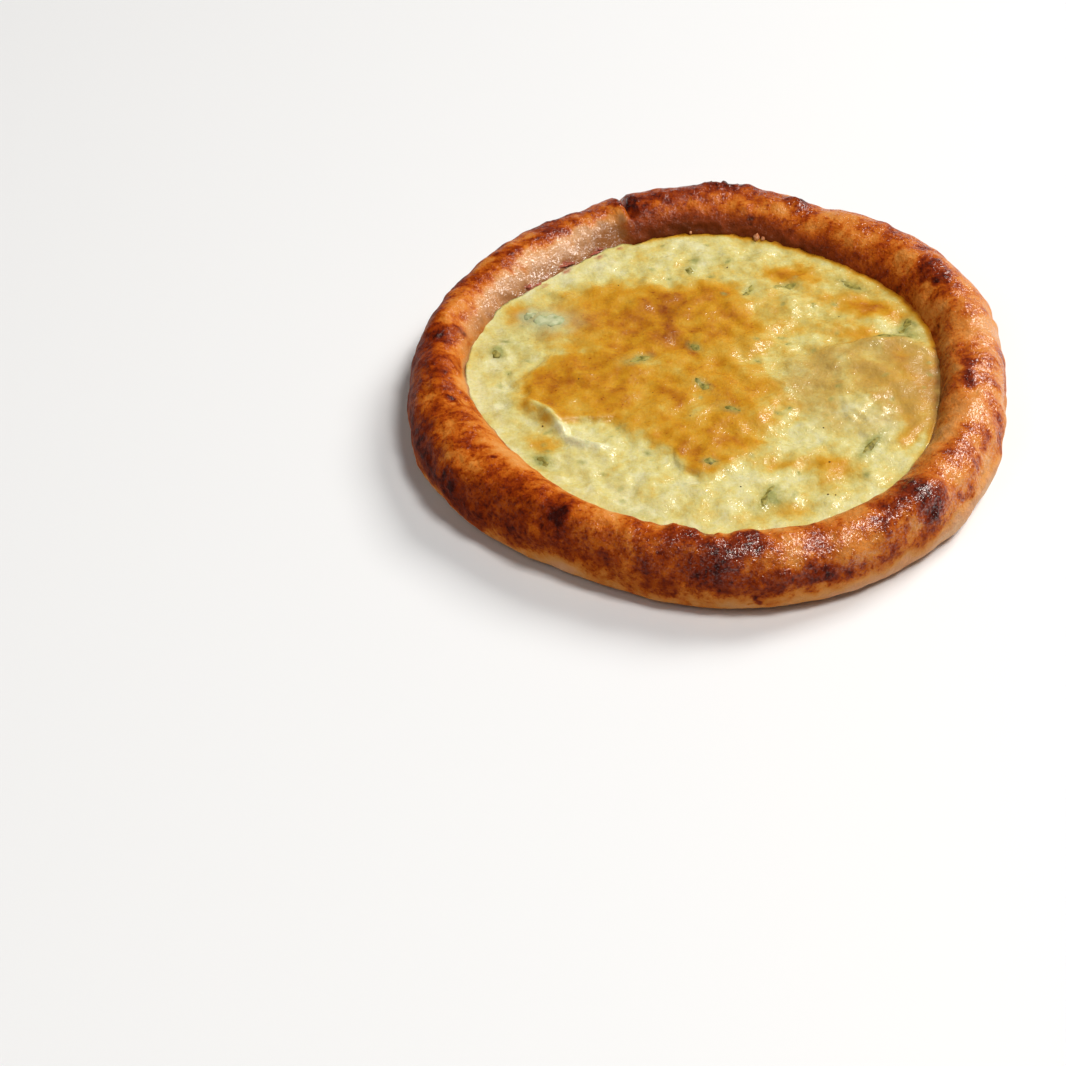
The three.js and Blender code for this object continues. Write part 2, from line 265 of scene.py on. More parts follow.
@dataclass(frozen=True)
class RimForm:
    """The rolled rim as a surface over turn and angle, in the CAD solid's values."""

    outer_radius: float = 110.0
    well_radius: float = 83.5
    rim_height: float = 26.0
    waist: float = 11.0
    base: float = 6.0
    filling_level: float = 16.5
    cove_depth: float = 5.0
    foot_fullness: float = 2.6
    outline_lobes: tuple[Lobe, ...] = records(
        Lobe,
        (2, 1.3, 90), (3, 1.7, 60), (4, 1.3, 19), (6, 0.8, 26),
    )
    well_lobes: tuple[Lobe, ...] = records(
        Lobe,
        (1, 4.2, 258), (2, 1.4, -62), (3, 2.0, 49), (4, 1.5, 0), (5, 1.4, 23),
    )
    crest_lobes: tuple[Lobe, ...] = (Lobe(3, 0.5, 20), Lobe(5, 0.4, 85))
    seam_angle: float = 104.5
    seam_width: float = 2.8
    seam_depth: float = 3.0
    seam_lip: float = 0.7
    seam_lip_reach: float = 2.6
    slope_lean: float = 2.5
    slope_drop: float = 1.3
    slope_exponent: float = 1.3
    slope_well_shift: float = 2.1
    spots: tuple[RimSpot, ...] = records(
        RimSpot,
        (308, 62, 7, 2.6), (302, 60, 5, 1.8), (297, 55, 4, 1.2), (23, 88, 7, 1.4), (16, 96, 5, 0.9),
        (82, 52, 9, 1.8), (65, 78, 5, 1.1), (127, 40, 9, 1.3), (166, 110, 4, 0.8), (209, 40, 8, 0.8),
        (235, 68, 5, 0.8), (259, 112, 5, 1.3), (266, 62, 8, 1.1), (271, 112, 4, 1.3), (278, 12, 7, 1.0),
        (264, 118, 3.5, -1.2), (285, 85, 7, -1.3), (328, 20, 12, -1.4), (61, 40, 10, -1.3),
        (344, 92, 6, -0.8), (191, 85, 10, -0.7),
    )

    def slope_share(self, angle: Array) -> Array:
        """Return how far the inner wall is a straight pale slope, from 0 to 1."""
        return band(np.mod(angle, 360.0), (105, 109), (150, 188))

    @staticmethod
    def lobed(mean: float, lobes: Sequence[Lobe], angle: Array) -> Array:
        """Return a length that swells and shrinks round the ring."""
        swells = [lobe.swell * np.cos(np.radians(lobe.count * (angle - lobe.peak))) for lobe in lobes]
        return mean + sum(swells)

    def section(self, angle: Array) -> RimSection:
        """Work out the rim's section at each angle.

        Args:
            angle: Angles round the bread, in degrees.

        Returns:
            The outer and inner radius, the crest's radius, its rise over the waist, and the power that
            shapes the inner wall.
        """
        slope = self.slope_share(angle)
        outer = self.lobed(self.outer_radius, self.outline_lobes, angle)
        inner = self.lobed(self.well_radius, self.well_lobes, angle) - self.slope_well_shift * slope
        height = self.lobed(self.rim_height, self.crest_lobes, angle)
        return RimSection(
            outer=outer,
            inner=inner,
            crest=(outer + inner) / 2.0 + self.slope_lean * slope,
            rise=height - self.slope_drop * slope - self.waist,
            power=2.0 / (2.0 + (self.slope_exponent - 2.0) * slope),
        )

    @staticmethod
    def seam_share(turn: Array) -> Array:
        """Return 1 over the crest, where the seam shows, and 0 far down either side."""
        return band(turn, (15, 60), (140, 170))

    def seam_relief(self, turn: Array, angle: Array) -> Array:
        """Return the groove where the rolled edge's ends lap, and the lapped end's lip."""
        past = angle_between(self.seam_angle, angle)
        groove = np.clip(1.0 - np.abs(past) / self.seam_width, 0.0, None)
        lip = np.where(past > 0, bell(past - self.seam_width, self.seam_lip_reach), 0.0)
        return (self.seam_lip * lip - self.seam_depth * groove) * self.seam_share(turn)

    def relief(self, turn: Array, angle: Array) -> Array:
        """Return the height of waves, spots and seam over the smooth roll."""
        section = self.section(angle)
        height = 0.0
        for count, start, swell, pace in ((11, 40, 0.30, 1), (17, 115, 0.25, 2)):
            wave = np.sin(np.radians(count * angle + start)) * np.cos(np.radians(pace * turn))
            height = height + swell * wave
        for spot in self.spots:
            height = height + spot.bump(*section.offset(spot, turn, angle))
        return height + self.seam_relief(turn, angle)

    def shown(self, turn: Array, height: Array) -> Array:
        """Return how far relief shows: it fades out under the filling and towards the outer waist."""
        inside = smoothstep(height, self.filling_level + 0.5, self.filling_level + 3.5)
        return np.where(turn > 90, inside, smoothstep(turn, 0, 20))

    def smooth_point(self, turn: Array, angle: Array) -> tuple[Array, Array]:
        """Return radius and height of the rim's roll before any relief."""
        section = self.section(angle)
        side = np.abs(np.cos(np.radians(turn)))
        rise = np.abs(np.sin(np.radians(turn)))
        full = 2.0 / self.foot_fullness
        outward = section.outer - section.crest
        inward = section.inner - section.crest
        foot = (section.crest + outward * side**full, self.waist * (1.0 - rise**full))
        outside = (section.crest + outward * side, self.waist + section.rise * rise)
        inside = (
            section.crest + inward * side**section.power,
            self.waist + section.rise * rise**section.power,
        )
        radius = np.where(turn < 0, foot[0], np.where(turn > 90, inside[0], outside[0]))
        height = np.where(turn < 0, foot[1], np.where(turn > 90, inside[1], outside[1]))
        return radius, height

    def wall_radius(self, height: Array, angle: Array) -> Array:
        """Return the well wall's radius at a height between its waist and the crest."""
        section = self.section(angle)
        up = (np.clip(height - self.waist, 0.0, None) / section.rise) ** (1.0 / section.power)
        reach = np.sqrt(np.clip(1.0 - up**2, 0.0, None)) ** section.power
        return section.crest + (section.inner - section.crest) * reach

    def cove_point(self, share: float, angle: Array) -> tuple[Array, Array]:
        """Return the curve from the wall, at share 0, to the well's floor, at share 1."""
        bend = math.radians(90.0 * share)
        radius = self.section(angle).inner - self.cove_depth * (1.0 - math.cos(bend))
        height = self.waist + (self.base - self.waist) * math.sin(bend)
        return radius, np.full_like(radius, height)

    def outline_middle(self) -> Array:
        """Return the middle of the outline's box, which the frame's origin lies under."""
        angle = np.arange(0.0, 360.0, 3.0)
        x, y = around(self.section(angle).outer, angle)
        return np.array([(x.min() + x.max()) / 2.0, (y.min() + y.max()) / 2.0, 0.0])


# ---------------------------------------------------------------- the filling's form


@dataclass(frozen=True)
class CheeseRelief:
    """Heights of the cheese's own relief, in millimetres."""

    curds: float = 0.95
    small_curds: float = 0.34
    strands: float = 0.22
    wrinkles: float = 0.20
    blisters: float = 0.5
    crumple: float = 0.8
    film_edge: float = 1.3


@dataclass(frozen=True)
class FillingForm:
    """The filling's lumpy top, in the CAD solid's values, and its finer cheese relief."""

    rim: RimForm
    cheese: CheeseRelief = CheeseRelief()
    crown: float = 0.8
    skin_rise: float = 1.5
    skin_edge: float = 0.16
    skin_fray: float = 2.6  # how far the skin's edge wanders from its ellipses, in millimetres
    skin: tuple[Oval, ...] = records(
        Oval,
        (-18, 24, 40, 27, -8), (-40, -4, 29, 21, 20), (-8, -18, 31, 27, -20), (-3, -43, 15, 14, 60),
    )
    forms: tuple[Oval, ...] = records(
        Oval,
        (57, -17, 30, 24, -20, 1.5), (63, 7, 19, 5, -6, 1.3), (45, 1, 12, 5, 42, 1.1),
        (48, -30, 12, 8, 20, 0.8), (-56, -27, 19, 5, -48, 0.9), (30, 35, 13, 9, 10, 1.1),
        (17, 9, 9, 6, 70, 1.0), (22, -40, 22, 7, 8, -1.0), (38, 14, 9, 7, 0, -1.1),
        (-8, 12, 10, 5, -55, -0.9), (-12, -68, 28, 7, -6, 0.7), (-57, 33, 10, 7, -10, 0.8),
    )
    film: tuple[Oval, ...] = (Oval(56, -17, 31, 24, -20), Oval(66, 0, 18, 10, -10))
    folds: tuple[Oval, ...] = records(
        Oval,
        (-63.5, -17.5, 5, 1.8, -42, 1.2), (-59, -24, 6, 1.8, -63, 1.3), (-55, -31.5, 6, 1.8, -66, 1.4),
        (-50.5, -37.5, 5, 1.8, -40, 1.4), (-43, -40.8, 7, 1.8, -12, 1.3), (34, -13, 12, 2.4, -18, 0.7),
        (46, -3, 10, 2.0, 44, 0.9), (60, 6.5, 10, 1.8, 4, 0.8), (76, 3, 9, 1.8, -30, 0.7),
        (66, -42, 12, 1.8, 50, 0.7), (57, -50, 10, 1.6, 46, 0.6),
    )

    @staticmethod
    def depth_in(ovals: Sequence[Oval], x: Array, y: Array) -> Array:
        """Return how deep each place lies in the joined ovals: 1 in a middle and 0 on the edge."""
        return np.max([1.0 - oval.reach(x, y) for oval in ovals], axis=0)

    @classmethod
    def inside(cls, ovals: Sequence[Oval], edge: float, x: Array, y: Array) -> Array:
        """Return 1 inside the joined ovals and 0 outside, with a soft step of `edge` between."""
        return smoothstep(cls.depth_in(ovals, x, y), -edge / 2.0, edge / 2.0)

    def skin_share(self, x: Array, y: Array, edge: float | None = None) -> Array:
        """Return 1 on the browned skin and 0 off it, with a frayed edge.

        Args:
            x: Places along X, in millimetres.
            y: Places along Y, in millimetres.
            edge: Share of an ellipse over which the skin ends, or None for the solid's own.

        Returns:
            The share of skin at each place.
        """
        places = flat_places(x, y)
        fray_x, fray_y = (
            self.skin_fray * (2.0 * noise_at(places, 13.0, broad) + 0.5 * noise_at(places, 5.0, fine))
            for broad, fine in ((3.1, 8.7), (6.4, 1.9))
        )
        return self.inside(self.skin, self.skin_edge if edge is None else edge, x + fray_x, y + fray_y)

    def skin_step(self, x: Array, y: Array) -> Array:
        """Return the skin's rise: a clear step at its near left edge, and a soft one elsewhere."""
        return self._edged(x, y, self.skin_edge, 0.5)

    def skin_tint(self, x: Array, y: Array) -> Array:
        """Return how brown the skin is: it ends clearly at its near left edge, and fades elsewhere."""
        return self._edged(x, y, 0.4, 1.0)

    def _edged(self, x: Array, y: Array, near: float, far: float) -> Array:
        """Return the skin's share with one edge width at its near left and another elsewhere."""
        near_left = smoothstep(-0.82 * (x + 18.0) - 0.57 * y, 12.0, 34.0)
        crisp = self.skin_share(x, y, edge=near)
        return crisp * near_left + self.skin_share(x, y, edge=far) * (1.0 - near_left)

    @staticmethod
    def upper_film(x: Array, y: Array) -> Array:
        """Return 1 along the film's upper edge, which is folded over, and 0 elsewhere."""
        return smoothstep(y + 0.2 * x, -4.0, 8.0) * smoothstep(x, 34.0, 58.0)

    @staticmethod
    def curd_relief(x: Array, y: Array) -> Array:
        """Return the broad curd lumps: two crossed waves for each size of lump."""
        height = np.zeros_like(x)
        for length, lump, skew in ((34.0, 0.45, 0.7), (19.0, 0.4, 2.1)):
            pace = 2.0 * math.pi / length
            east = np.sin(pace * x + 1.2 * np.sin(pace * 0.6 * y + skew))
            north = np.sin(pace * y + 1.2 * np.sin(pace * 0.7 * x - skew))
            height = height + lump * east * north
        return height

    def fine_relief(self, x: Array, y: Array, skin: Array) -> Array:
        """Return the cheese's finer relief: curds and strands off the skin, wrinkles on it.

        Args:
            x: Places along X, in millimetres.
            y: Places along Y, in millimetres.
            skin: How far each place is covered by the browned skin.

        Returns:
            Heights in millimetres.
        """
        places = flat_places(x, y)
        cheese = self.cheese
        film = self.inside(self.film, 0.25, x, y)
        bare = (1.0 - skin) * (1.0 - 0.75 * film)
        drawn = turned_rows(places * np.array([1.0, 1.9, 1.0]), 28.0)
        curds = cheese.curds * noise_at(places, 7.5, 2.0) + cheese.small_curds * noise_at(places, 3.4, 5.0)
        strands = cheese.strands * (ridges_at(drawn, 7.0, 9.0) - 0.5)
        wrinkles = cheese.wrinkles * (ridges_at(drawn, 9.5, 4.0) - 0.5)
        wrinkles = wrinkles + cheese.blisters * noise_at(places, 5.5, 7.0)
        middle = np.exp(-(((x - 50) / 13) ** 2 + ((y + 30) / 11) ** 2))
        crumple = cheese.crumple * noise_at(places, 2.8, 11.0) * middle
        creases = sum(fold.mound(x, y) for fold in self.folds)
        creases = creases + cheese.film_edge * self.inside(self.film, 0.12, x, y) * self.upper_film(x, y)
        return bare * (curds + strands) + 0.85 * skin * wrinkles + film * (crumple + 0.25 * curds) + creases

    def top(self, x: Array, y: Array, fine: bool = True) -> Array:
        """Return the height of the filling's top.

        Args:
            x: Places along X, in millimetres.
            y: Places along Y, in millimetres.
            fine: Whether the finer relief is added to the CAD solid's own.

        Returns:
            Heights in millimetres.
        """
        angle = np.degrees(np.arctan2(y, x))
        wall = self.rim.wall_radius(np.full_like(x, self.rim.filling_level), angle)
        reach = np.clip(np.hypot(x, y) / wall, 0.0, 1.0)
        skin = self.skin_share(x, y)
        relief = sum(form.mound(x, y) for form in self.forms)
        relief = relief + self.skin_rise * self.skin_step(x, y) + self.curd_relief(x, y)
        height = self.rim.filling_level + self.crown * (1.0 - reach**4)
        height = height + relief * (1.0 - smoothstep(reach, 0.9, 1.0))
        if fine:
            height = height + self.fine_relief(x, y, skin) * (1.0 - 0.7 * smoothstep(reach, 0.95, 1.0))
        return height


# ---------------------------------------------------------------- meshes


def spun_drum(stations: int, rays: int) -> bmesh.types.BMesh:
    """Spin a closed drum with one ring of vertices for each station.

    Its ends close in poles on the axis, and each ring's height is its station's number, so that a shape
    can be laid over it afterwards. A sixteenth is spun, and then doubled four times, which is much
    quicker than one spin with as many steps.

    Args:
        stations: Number of rings, the two poles included.
        rays: Number of steps round the axis, a multiple of 16.

    Returns:
        The drum, whose radius is 1.
    """
    doublings = 4
    span = 2.0 * math.pi / 2**doublings
    drum = bmesh.new()
    radii = [0.0] + [1.0] * (stations - 2) + [0.0]
    profile = [drum.verts.new((radius, 0.0, float(number))) for number, radius in enumerate(radii)]
    edges = [drum.edges.new(pair) for pair in zip(profile, profile[1:])]
    bmesh.ops.spin(
        drum,
        geom=profile + edges,
        cent=(0.0, 0.0, 0.0),
        axis=(0.0, 0.0, 1.0),
        angle=span,
        steps=rays // 2**doublings,
        use_merge=False,
        use_duplicate=False,
    )
    for _ in range(doublings):
        copied = bmesh.ops.duplicate(drum, geom=drum.verts[:] + drum.edges[:] + drum.faces[:])["geom"]
        verts = [part for part in copied if isinstance(part, bmesh.types.BMVert)]
        bmesh.ops.rotate(drum, verts=verts, cent=(0.0, 0.0, 0.0), matrix=Matrix.Rotation(span, 3, "Z"))
        span *= 2.0
    bmesh.ops.remove_doubles(drum, verts=drum.verts, dist=1e-4)
    bmesh.ops.recalc_face_normals(drum, faces=drum.faces)
    return drum


def mesh_places(mesh: bpy.types.Mesh) -> Array:
    """Return a mesh's vertices, one row each."""
    flat = np.empty(len(mesh.vertices) * 3)
    mesh.vertices.foreach_get("co", flat)
    return flat.reshape(-1, 3)


def set_places(mesh: bpy.types.Mesh, places: Array) -> None:
    """Move a mesh's vertices to new places."""
    mesh.vertices.foreach_set("co", places.ravel())
    mesh.update()


def paint(mesh: bpy.types.Mesh, name: str, values: Array) -> None:
    """Store one number for each vertex, which the material reads by name."""
    layer = mesh.attributes.new(name, "FLOAT", "POINT")
    layer.data.foreach_set("value", np.clip(values, -1.0, 2.0))


def shown_object(name: str, mesh: bpy.types.Mesh, material: bpy.types.Material) -> bpy.types.Object:
    """Put a mesh in the scene as a smooth, finished piece at the origin."""
    mesh.name = name
    mesh.shade_smooth()
    mesh.materials.append(material)
    piece = bpy.data.objects.new(name, mesh)
    bpy.context.scene.collection.objects.link(piece)
    return piece


@dataclass(frozen=True)
class Rings:
    """A drum's mesh, and where each of its vertices has to lie, in degrees and millimetres."""

    mesh: bpy.types.Mesh
    number: Array
    angle: Array
    radius: Array
    height: Array


def laid_rings(name: str, stations: Sequence[Station], rays: int) -> Rings:
    """Spin a drum and find where each of its rings lies.

    Args:
        name: The mesh's name.
        stations: For each ring the function that gives its radius and height at an angle.
        rays: Number of steps round the axis, a multiple of 16.

    Returns:
        The mesh, which is still a plain drum, with the places that its vertices have to take.
    """
    drum = spun_drum(len(stations), rays)
    mesh = bpy.data.meshes.new(name)
    drum.to_mesh(mesh)
    drum.free()
    verts = mesh_places(mesh)
    number = np.rint(verts[:, 2]).astype(int)
    angle = np.degrees(np.arctan2(verts[:, 1], verts[:, 0]))
    radius, height = np.empty(len(verts)), np.empty(len(verts))
    for place, station in enumerate(stations):
        chosen = number == place
        radius[chosen], height[chosen] = station(angle[chosen])
    return Rings(mesh, number, angle, radius, height)


# ---------------------------------------------------------------- node helpers


def linear(code: str) -> tuple[float, float, float, float]:
    """Turn an sRGB hex colour into Blender's linear colour, with full alpha."""
    channels = [int(code[place : place + 2], 16) / 255.0 for place in (1, 3, 5)]
    red, green, blue = (c / 12.92 if c <= 0.04045 else ((c + 0.055) / 1.055) ** 2.4 for c in channels)
    return red, green, blue, 1.0


def per_mm(size: float) -> float:
    """Return the texture scale, in object metres, whose features are `size` millimetres across."""
    return 1.0 / (size * MM)


def add_node(
    tree: bpy.types.NodeTree,
    kind: str,
    inputs: dict[str | int, object] | None = None,
    out: str | int = 0,
    stops: Sequence[tuple[float, str]] = (),
    **settings: object,
) -> bpy.types.NodeSocket | None:
    """Add a node with its settings, values and links.

    Args:
        tree: The material's node tree.
        kind: The node's type, without its ShaderNode prefix.
        inputs: What each input gets, by name or place: a value, an sRGB hex colour, or another
            node's output.
        out: The output that other nodes link to, by name or place.
        stops: A colour ramp's stops, as place and sRGB hex colour.
        **settings: The node's own properties.

    Returns:
        The new node's output, or None where it has none.
    """
    node = tree.nodes.new("ShaderNode" + kind)
    for name, value in settings.items():
        setattr(node, name, value)
    for key, value in (inputs or {}).items():
        if isinstance(value, bpy.types.NodeSocket):
            tree.links.new(value, node.inputs[key])
        else:
            node.inputs[key].default_value = linear(value) if isinstance(value, str) else value
    if stops:
        ramp = node.color_ramp.elements
        while len(ramp) < len(stops):
            ramp.new(0.5)
        for element, (place, code) in zip(ramp, stops):
            element.position = place
            element.color = linear(code)
    return node.outputs[out] if node.outputs else None


def new_material(name: str) -> tuple[bpy.types.Material, Callable[..., bpy.types.NodeSocket]]:
    """Make a material with an empty tree, and return it with the function that adds its nodes."""
    material = bpy.data.materials.new(name)
    material.use_nodes = True
    material.node_tree.nodes.clear()
    return material, partial(add_node, material.node_tree)


# ---------------------------------------------------------------- finishes


@dataclass(frozen=True)
class GlazedWheatCrust:
    """Egg-glazed wheat dough, baked in a very hot stone oven.

    The glaze browns in blotches a few millimetres wide and dries to a thin shiny film over finely pitted
    skin, so its highlights break up into specks. Low on its outer side it stays pale, and its blisters
    char.
    """

    name: str = "glazed_wheat_crust"
    browning: tuple[tuple[float, str], ...] = (
        (0.0, "#d9aa7e"),
        (0.12, "#d09466"),
        (0.24, "#d2904e"),
        (0.37, "#ca792e"),
        (0.48, "#b45812"),
        (0.58, "#983e08"),
        (0.72, "#7a2806"),
        (0.86, "#5e1a06"),
        (1.0, "#380e08"),
    )
    moist_dough: str = "#cc9d74"
    moist_shade: str = "#86542c"
    pepper_stain: str = "#94443a"
    blotch: float = 11.0
    mottle: float = 2.8
    fleck: float = 1.3
    pitting: float = 1.0
    pit_depth: float = 0.42
    orange_peel: float = 2.6
    peel_depth: float = 0.5
    glaze_break: float = 0.8
    roughness: tuple[float, float] = (0.4, 0.6)
    glaze_roughness: float = 0.16

    def material(self) -> bpy.types.Material:
        """Build the crust's material.

        Returns:
            A material that reads the attributes bake, calm, glaze, moist, shade and stain.
        """
        material, node = new_material(self.name)
        place = node("TexCoord", out="Object")
        painted = {
            name: node("Attribute", out="Fac", attribute_name=name)
            for name in ("bake_and_painted_light", "calm", "glaze", "moist", "shade", "stain")
        }
        blotch, mottle, fleck, peel, pits, breaks = (
            node(
                "TexNoise",
                {"Vector": place, "Scale": per_mm(size), "Detail": detail, "Roughness": roughness},
                out="Fac",
            )
            for size, detail, roughness in (
                (self.blotch, 4.0, 0.55),
                (self.mottle, 5.0, 0.62),
                (self.fleck, 2.0, 0.5),
                (self.orange_peel, 2.0, 0.5),
                (self.pitting, 2.0, 0.6),
                (self.glaze_break, 2.0, 0.5),
            )
        )

        # Broad zones brown more or less, and the more a zone is browned the more mottles darken it.
        mottled = node("Math", {0: 1.0, 1: painted["calm"]}, operation="SUBTRACT")
        about = node("Math", {0: blotch, 1: 0.5}, operation="SUBTRACT")
        swing = node("Math", {0: about, 1: mottled}, operation="MULTIPLY")
        level = node("Math", {0: swing, 1: 0.8, 2: painted["bake_and_painted_light"]}, operation="MULTIPLY_ADD")
        for layer, low, high, zone_low, zone_high, deepest in (
            (mottle, 0.44, 0.64, 0.26, 0.6, 0.22),
            (fleck, 0.55, 0.66, 0.24, 0.5, 0.14),
        ):
            spots = node("MapRange", {"Value": layer, "From Min": low, "From Max": high})
            zone = {"Value": level, "From Min": zone_low, "From Max": zone_high, "To Max": deepest}
            depth = node("Math", {0: node("MapRange", zone), 1: mottled}, operation="MULTIPLY")
            level = node("Math", {0: spots, 1: depth, 2: level}, operation="MULTIPLY_ADD")
        colour = node("ValToRGB", {"Fac": level}, stops=self.browning)

        # Moist dough darkens with painted shade down the slope and near the seam, and with both sizes of
        # mottle, and pepper stains it in spots.
        about = node("Math", {0: mottle, 1: 0.5}, operation="SUBTRACT")
        shade = node("Math", {0: about, 1: 1.1, 2: painted["shade"]}, operation="MULTIPLY_ADD")
        shade = node("Math", {0: swing, 1: 0.6, 2: shade}, operation="MULTIPLY_ADD")
        dough = node("Mix", {0: shade, 6: self.moist_dough, 7: self.moist_shade}, 2, data_type="RGBA")
        spotted = node("Math", {0: painted["stain"], 1: mottle}, operation="MULTIPLY")
        spotted = node("MapRange", {"Value": spotted, "From Min": 0.3, "From Max": 0.5, "To Max": 0.8})
        for share, over in ((painted["moist"], dough), (spotted, self.pepper_stain)):
            colour = node("Mix", {0: share, 6: colour, 7: over}, 2, data_type="RGBA")

        # The glaze's orange peel has fine pits over it, and both are shallower on moist dough.
        strength = node("MapRange", {"Value": painted["moist"], "To Min": 1.0, "To Max": 0.6})
        relief = {"Height": peel, "Distance": self.peel_depth * MM, "Strength": strength}
        relief = {**relief, "Height": pits, "Distance": self.pit_depth * MM, "Normal": node("Bump", relief)}
        normal = node("Bump", relief)
        # The dried glaze is broken up finely, so it shines in specks.
        broken = node("MapRange", {"Value": breaks, "From Min": 0.47, "From Max": 0.58, "To Min": 0.12})
        glaze = node("Math", {0: broken, 1: painted["glaze"]}, operation="MULTIPLY", use_clamp=True)
        low, high = self.roughness
        shader = {
            "Base Color": colour,
            "Roughness": node("MapRange", {"Value": mottle, "To Min": low, "To Max": high}),
            "IOR": 1.46,
            "Specular IOR Level": 0.03,
            "Coat Weight": glaze,
            "Coat Roughness": self.glaze_roughness,
            "Coat IOR": 1.8,
            "Normal": normal,
            "Coat Normal": normal,
        }
        node("OutputMaterial", {"Surface": node("BsdfPrincipled", shader)})
        return material


@dataclass(frozen=True)
class BakedCurdCheese:
    """Curd cheese and egg, baked moist: pale curds, and a skin that browns like custard.

    Melted fat wets it all over, so each small lump carries a bright glint. The curds let a little light
    through, and chopped herbs tint the cheese round them green.
    """

    name: str = "baked_curd_cheese"
    toasting: tuple[tuple[float, str], ...] = (
        (0.0, "#d8d4a6"),
        (0.16, "#cdc27c"),
        (0.28, "#cab05a"),
        (0.4, "#c69934"),
        (0.54, "#c28a1a"),
        (0.7, "#b0700e"),
        (0.86, "#8f4a0a"),
        (1.0, "#6a3208"),
    )
    herb_tint: str = "#a8a866"
    herb_deep: str = "#737a40"
    mint_tint: str = "#b4b88c"
    film_tint: str = "#b08e48"
    pepper_stain: str = "#a85a48"
    patch: float = 9.0
    curd: float = 3.4
    grain: float = 1.4
    fat_pool: float = 1.1
    roughness: tuple[float, float] = (0.34, 0.5)

    def material(self) -> bpy.types.Material:
        """Build the filling's material.

        Returns:
            A material that reads the attributes toast, dry, film, herb, mint and stain.
        """
        material, node = new_material(self.name)
        place = node("TexCoord", out="Object")
        painted = {
            name: node("Attribute", out="Fac", attribute_name=name)
            for name in ("toast_and_painted_light", "dry", "film", "herb", "mint", "stain")
        }
        patch, curd, grain, pools = (
            node(
                "TexNoise",
                {"Vector": place, "Scale": per_mm(size), "Detail": detail, "Roughness": roughness},
                out="Fac",
            )
            for size, detail, roughness in (
                (self.patch, 3.0, 0.6),
                (self.curd, 4.0, 0.6),
                (self.grain, 2.0, 0.6),
                (self.fat_pool, 2.0, 0.5),
            )
        )

        level = painted["toast_and_painted_light"]
        for layer, share in ((patch, 0.5), (curd, 0.34), (grain, 0.12)):
            swing = node("Math", {0: layer, 1: 0.5}, operation="SUBTRACT")
            level = node("Math", {0: swing, 1: share, 2: level}, operation="MULTIPLY_ADD")
        # Where the skin is well browned, its smallest blisters darken first.
        dots = node("MapRange", {"Value": grain, "From Min": 0.66, "From Max": 0.74})
        browned = node("MapRange", {"Value": level, "From Min": 0.4, "From Max": 0.6})
        dots = node("Math", {0: dots, 1: browned}, operation="MULTIPLY")
        level = node("Math", {0: dots, 1: 0.18, 2: level}, operation="MULTIPLY_ADD")
        colour = node("ValToRGB", {"Fac": level}, stops=self.toasting)

        # The film is cloudy, and the tints of herbs and pepper gather on the curds.
        herb_shade = node("Mix", {0: grain, 6: self.herb_tint, 7: self.herb_deep}, 2, data_type="RGBA")
        cloud = {"Value": patch, "From Min": 0.38, "From Max": 0.58, "To Min": 0.35, "To Max": 0.85}
        film = node("Math", {0: painted["film"], 1: node("MapRange", cloud)}, operation="MULTIPLY")
        shares = {"film": film, "mint": painted["mint"]}
        for name, low, high, most in (("herb", 0.08, 0.5, 0.9), ("stain", 0.25, 0.55, 0.8)):
            share = node("Math", {0: painted[name], 1: curd}, operation="MULTIPLY")
            reach = {"Value": share, "From Min": low, "From Max": high, "To Max": most}
            shares[name] = node("MapRange", reach)
        for name, tint in (
            ("film", self.film_tint),
            ("herb", herb_shade),
            ("mint", self.mint_tint),
            ("stain", self.pepper_stain),
        ):
            colour = node("Mix", {0: shares[name], 6: colour, 7: tint}, 2, data_type="RGBA")

        relief = {"Height": curd, "Strength": 0.5, "Distance": 0.5 * MM}
        relief = {"Height": grain, "Strength": 0.8, "Distance": 0.35 * MM, "Normal": node("Bump", relief)}
        normal = node("Bump", relief)
        # The fat lies in small pools, so the glints are small too.
        wettest = node("MapRange", {"Value": painted["dry"], "To Min": 1.0, "To Max": 0.3})
        fat = {"Value": pools, "From Min": 0.49, "From Max": 0.62, "To Min": 0.06, "To Max": wettest}
        low, high = self.roughness
        shader = {
            "Base Color": colour,
            "Roughness": node("MapRange", {"Value": curd, "To Min": low, "To Max": high}),
            "IOR": 1.44,
            "Specular IOR Level": 0.25,
            "Subsurface Weight": 0.14,
            "Subsurface Radius": (0.004, 0.0028, 0.0012),
            "Subsurface Scale": 0.6,
            "Coat Weight": node("MapRange", fat),
            "Coat Roughness": 0.12,
            "Coat IOR": 1.6,
            "Normal": normal,
            "Coat Normal": normal,
        }
        node("OutputMaterial", {"Surface": node("BsdfPrincipled", shader)})
        return material


@dataclass(frozen=True)
class SpeckledFinish:
    """A small topping's finish: two close colours in specks, under the same melted fat."""

    name: str
    light: str
    dark: str
    speck: float
    roughness: float

    def material(self) -> bpy.types.Material:
        """Build the topping's material."""
        material, node = new_material(self.name)
        place = node("TexCoord", out="Object")
        specks = node("TexNoise", {"Vector": place, "Scale": per_mm(self.speck), "Detail": 2.0}, out="Fac")
        share = node("MapRange", {"Value": specks, "From Min": 0.35, "From Max": 0.65})
        shader = {
            "Base Color": node("Mix", {0: share, 6: self.light, 7: self.dark}, 2, data_type="RGBA"),
            "Roughness": self.roughness,
            "IOR": 1.45,
            "Specular IOR Level": 0.2,
            "Normal": node("Bump", {"Height": specks, "Strength": 0.5, "Distance": 0.15 * MM}),
        }
        node("OutputMaterial", {"Surface": node("BsdfPrincipled", shader)})
        return material


# ---------------------------------------------------------------- the crust


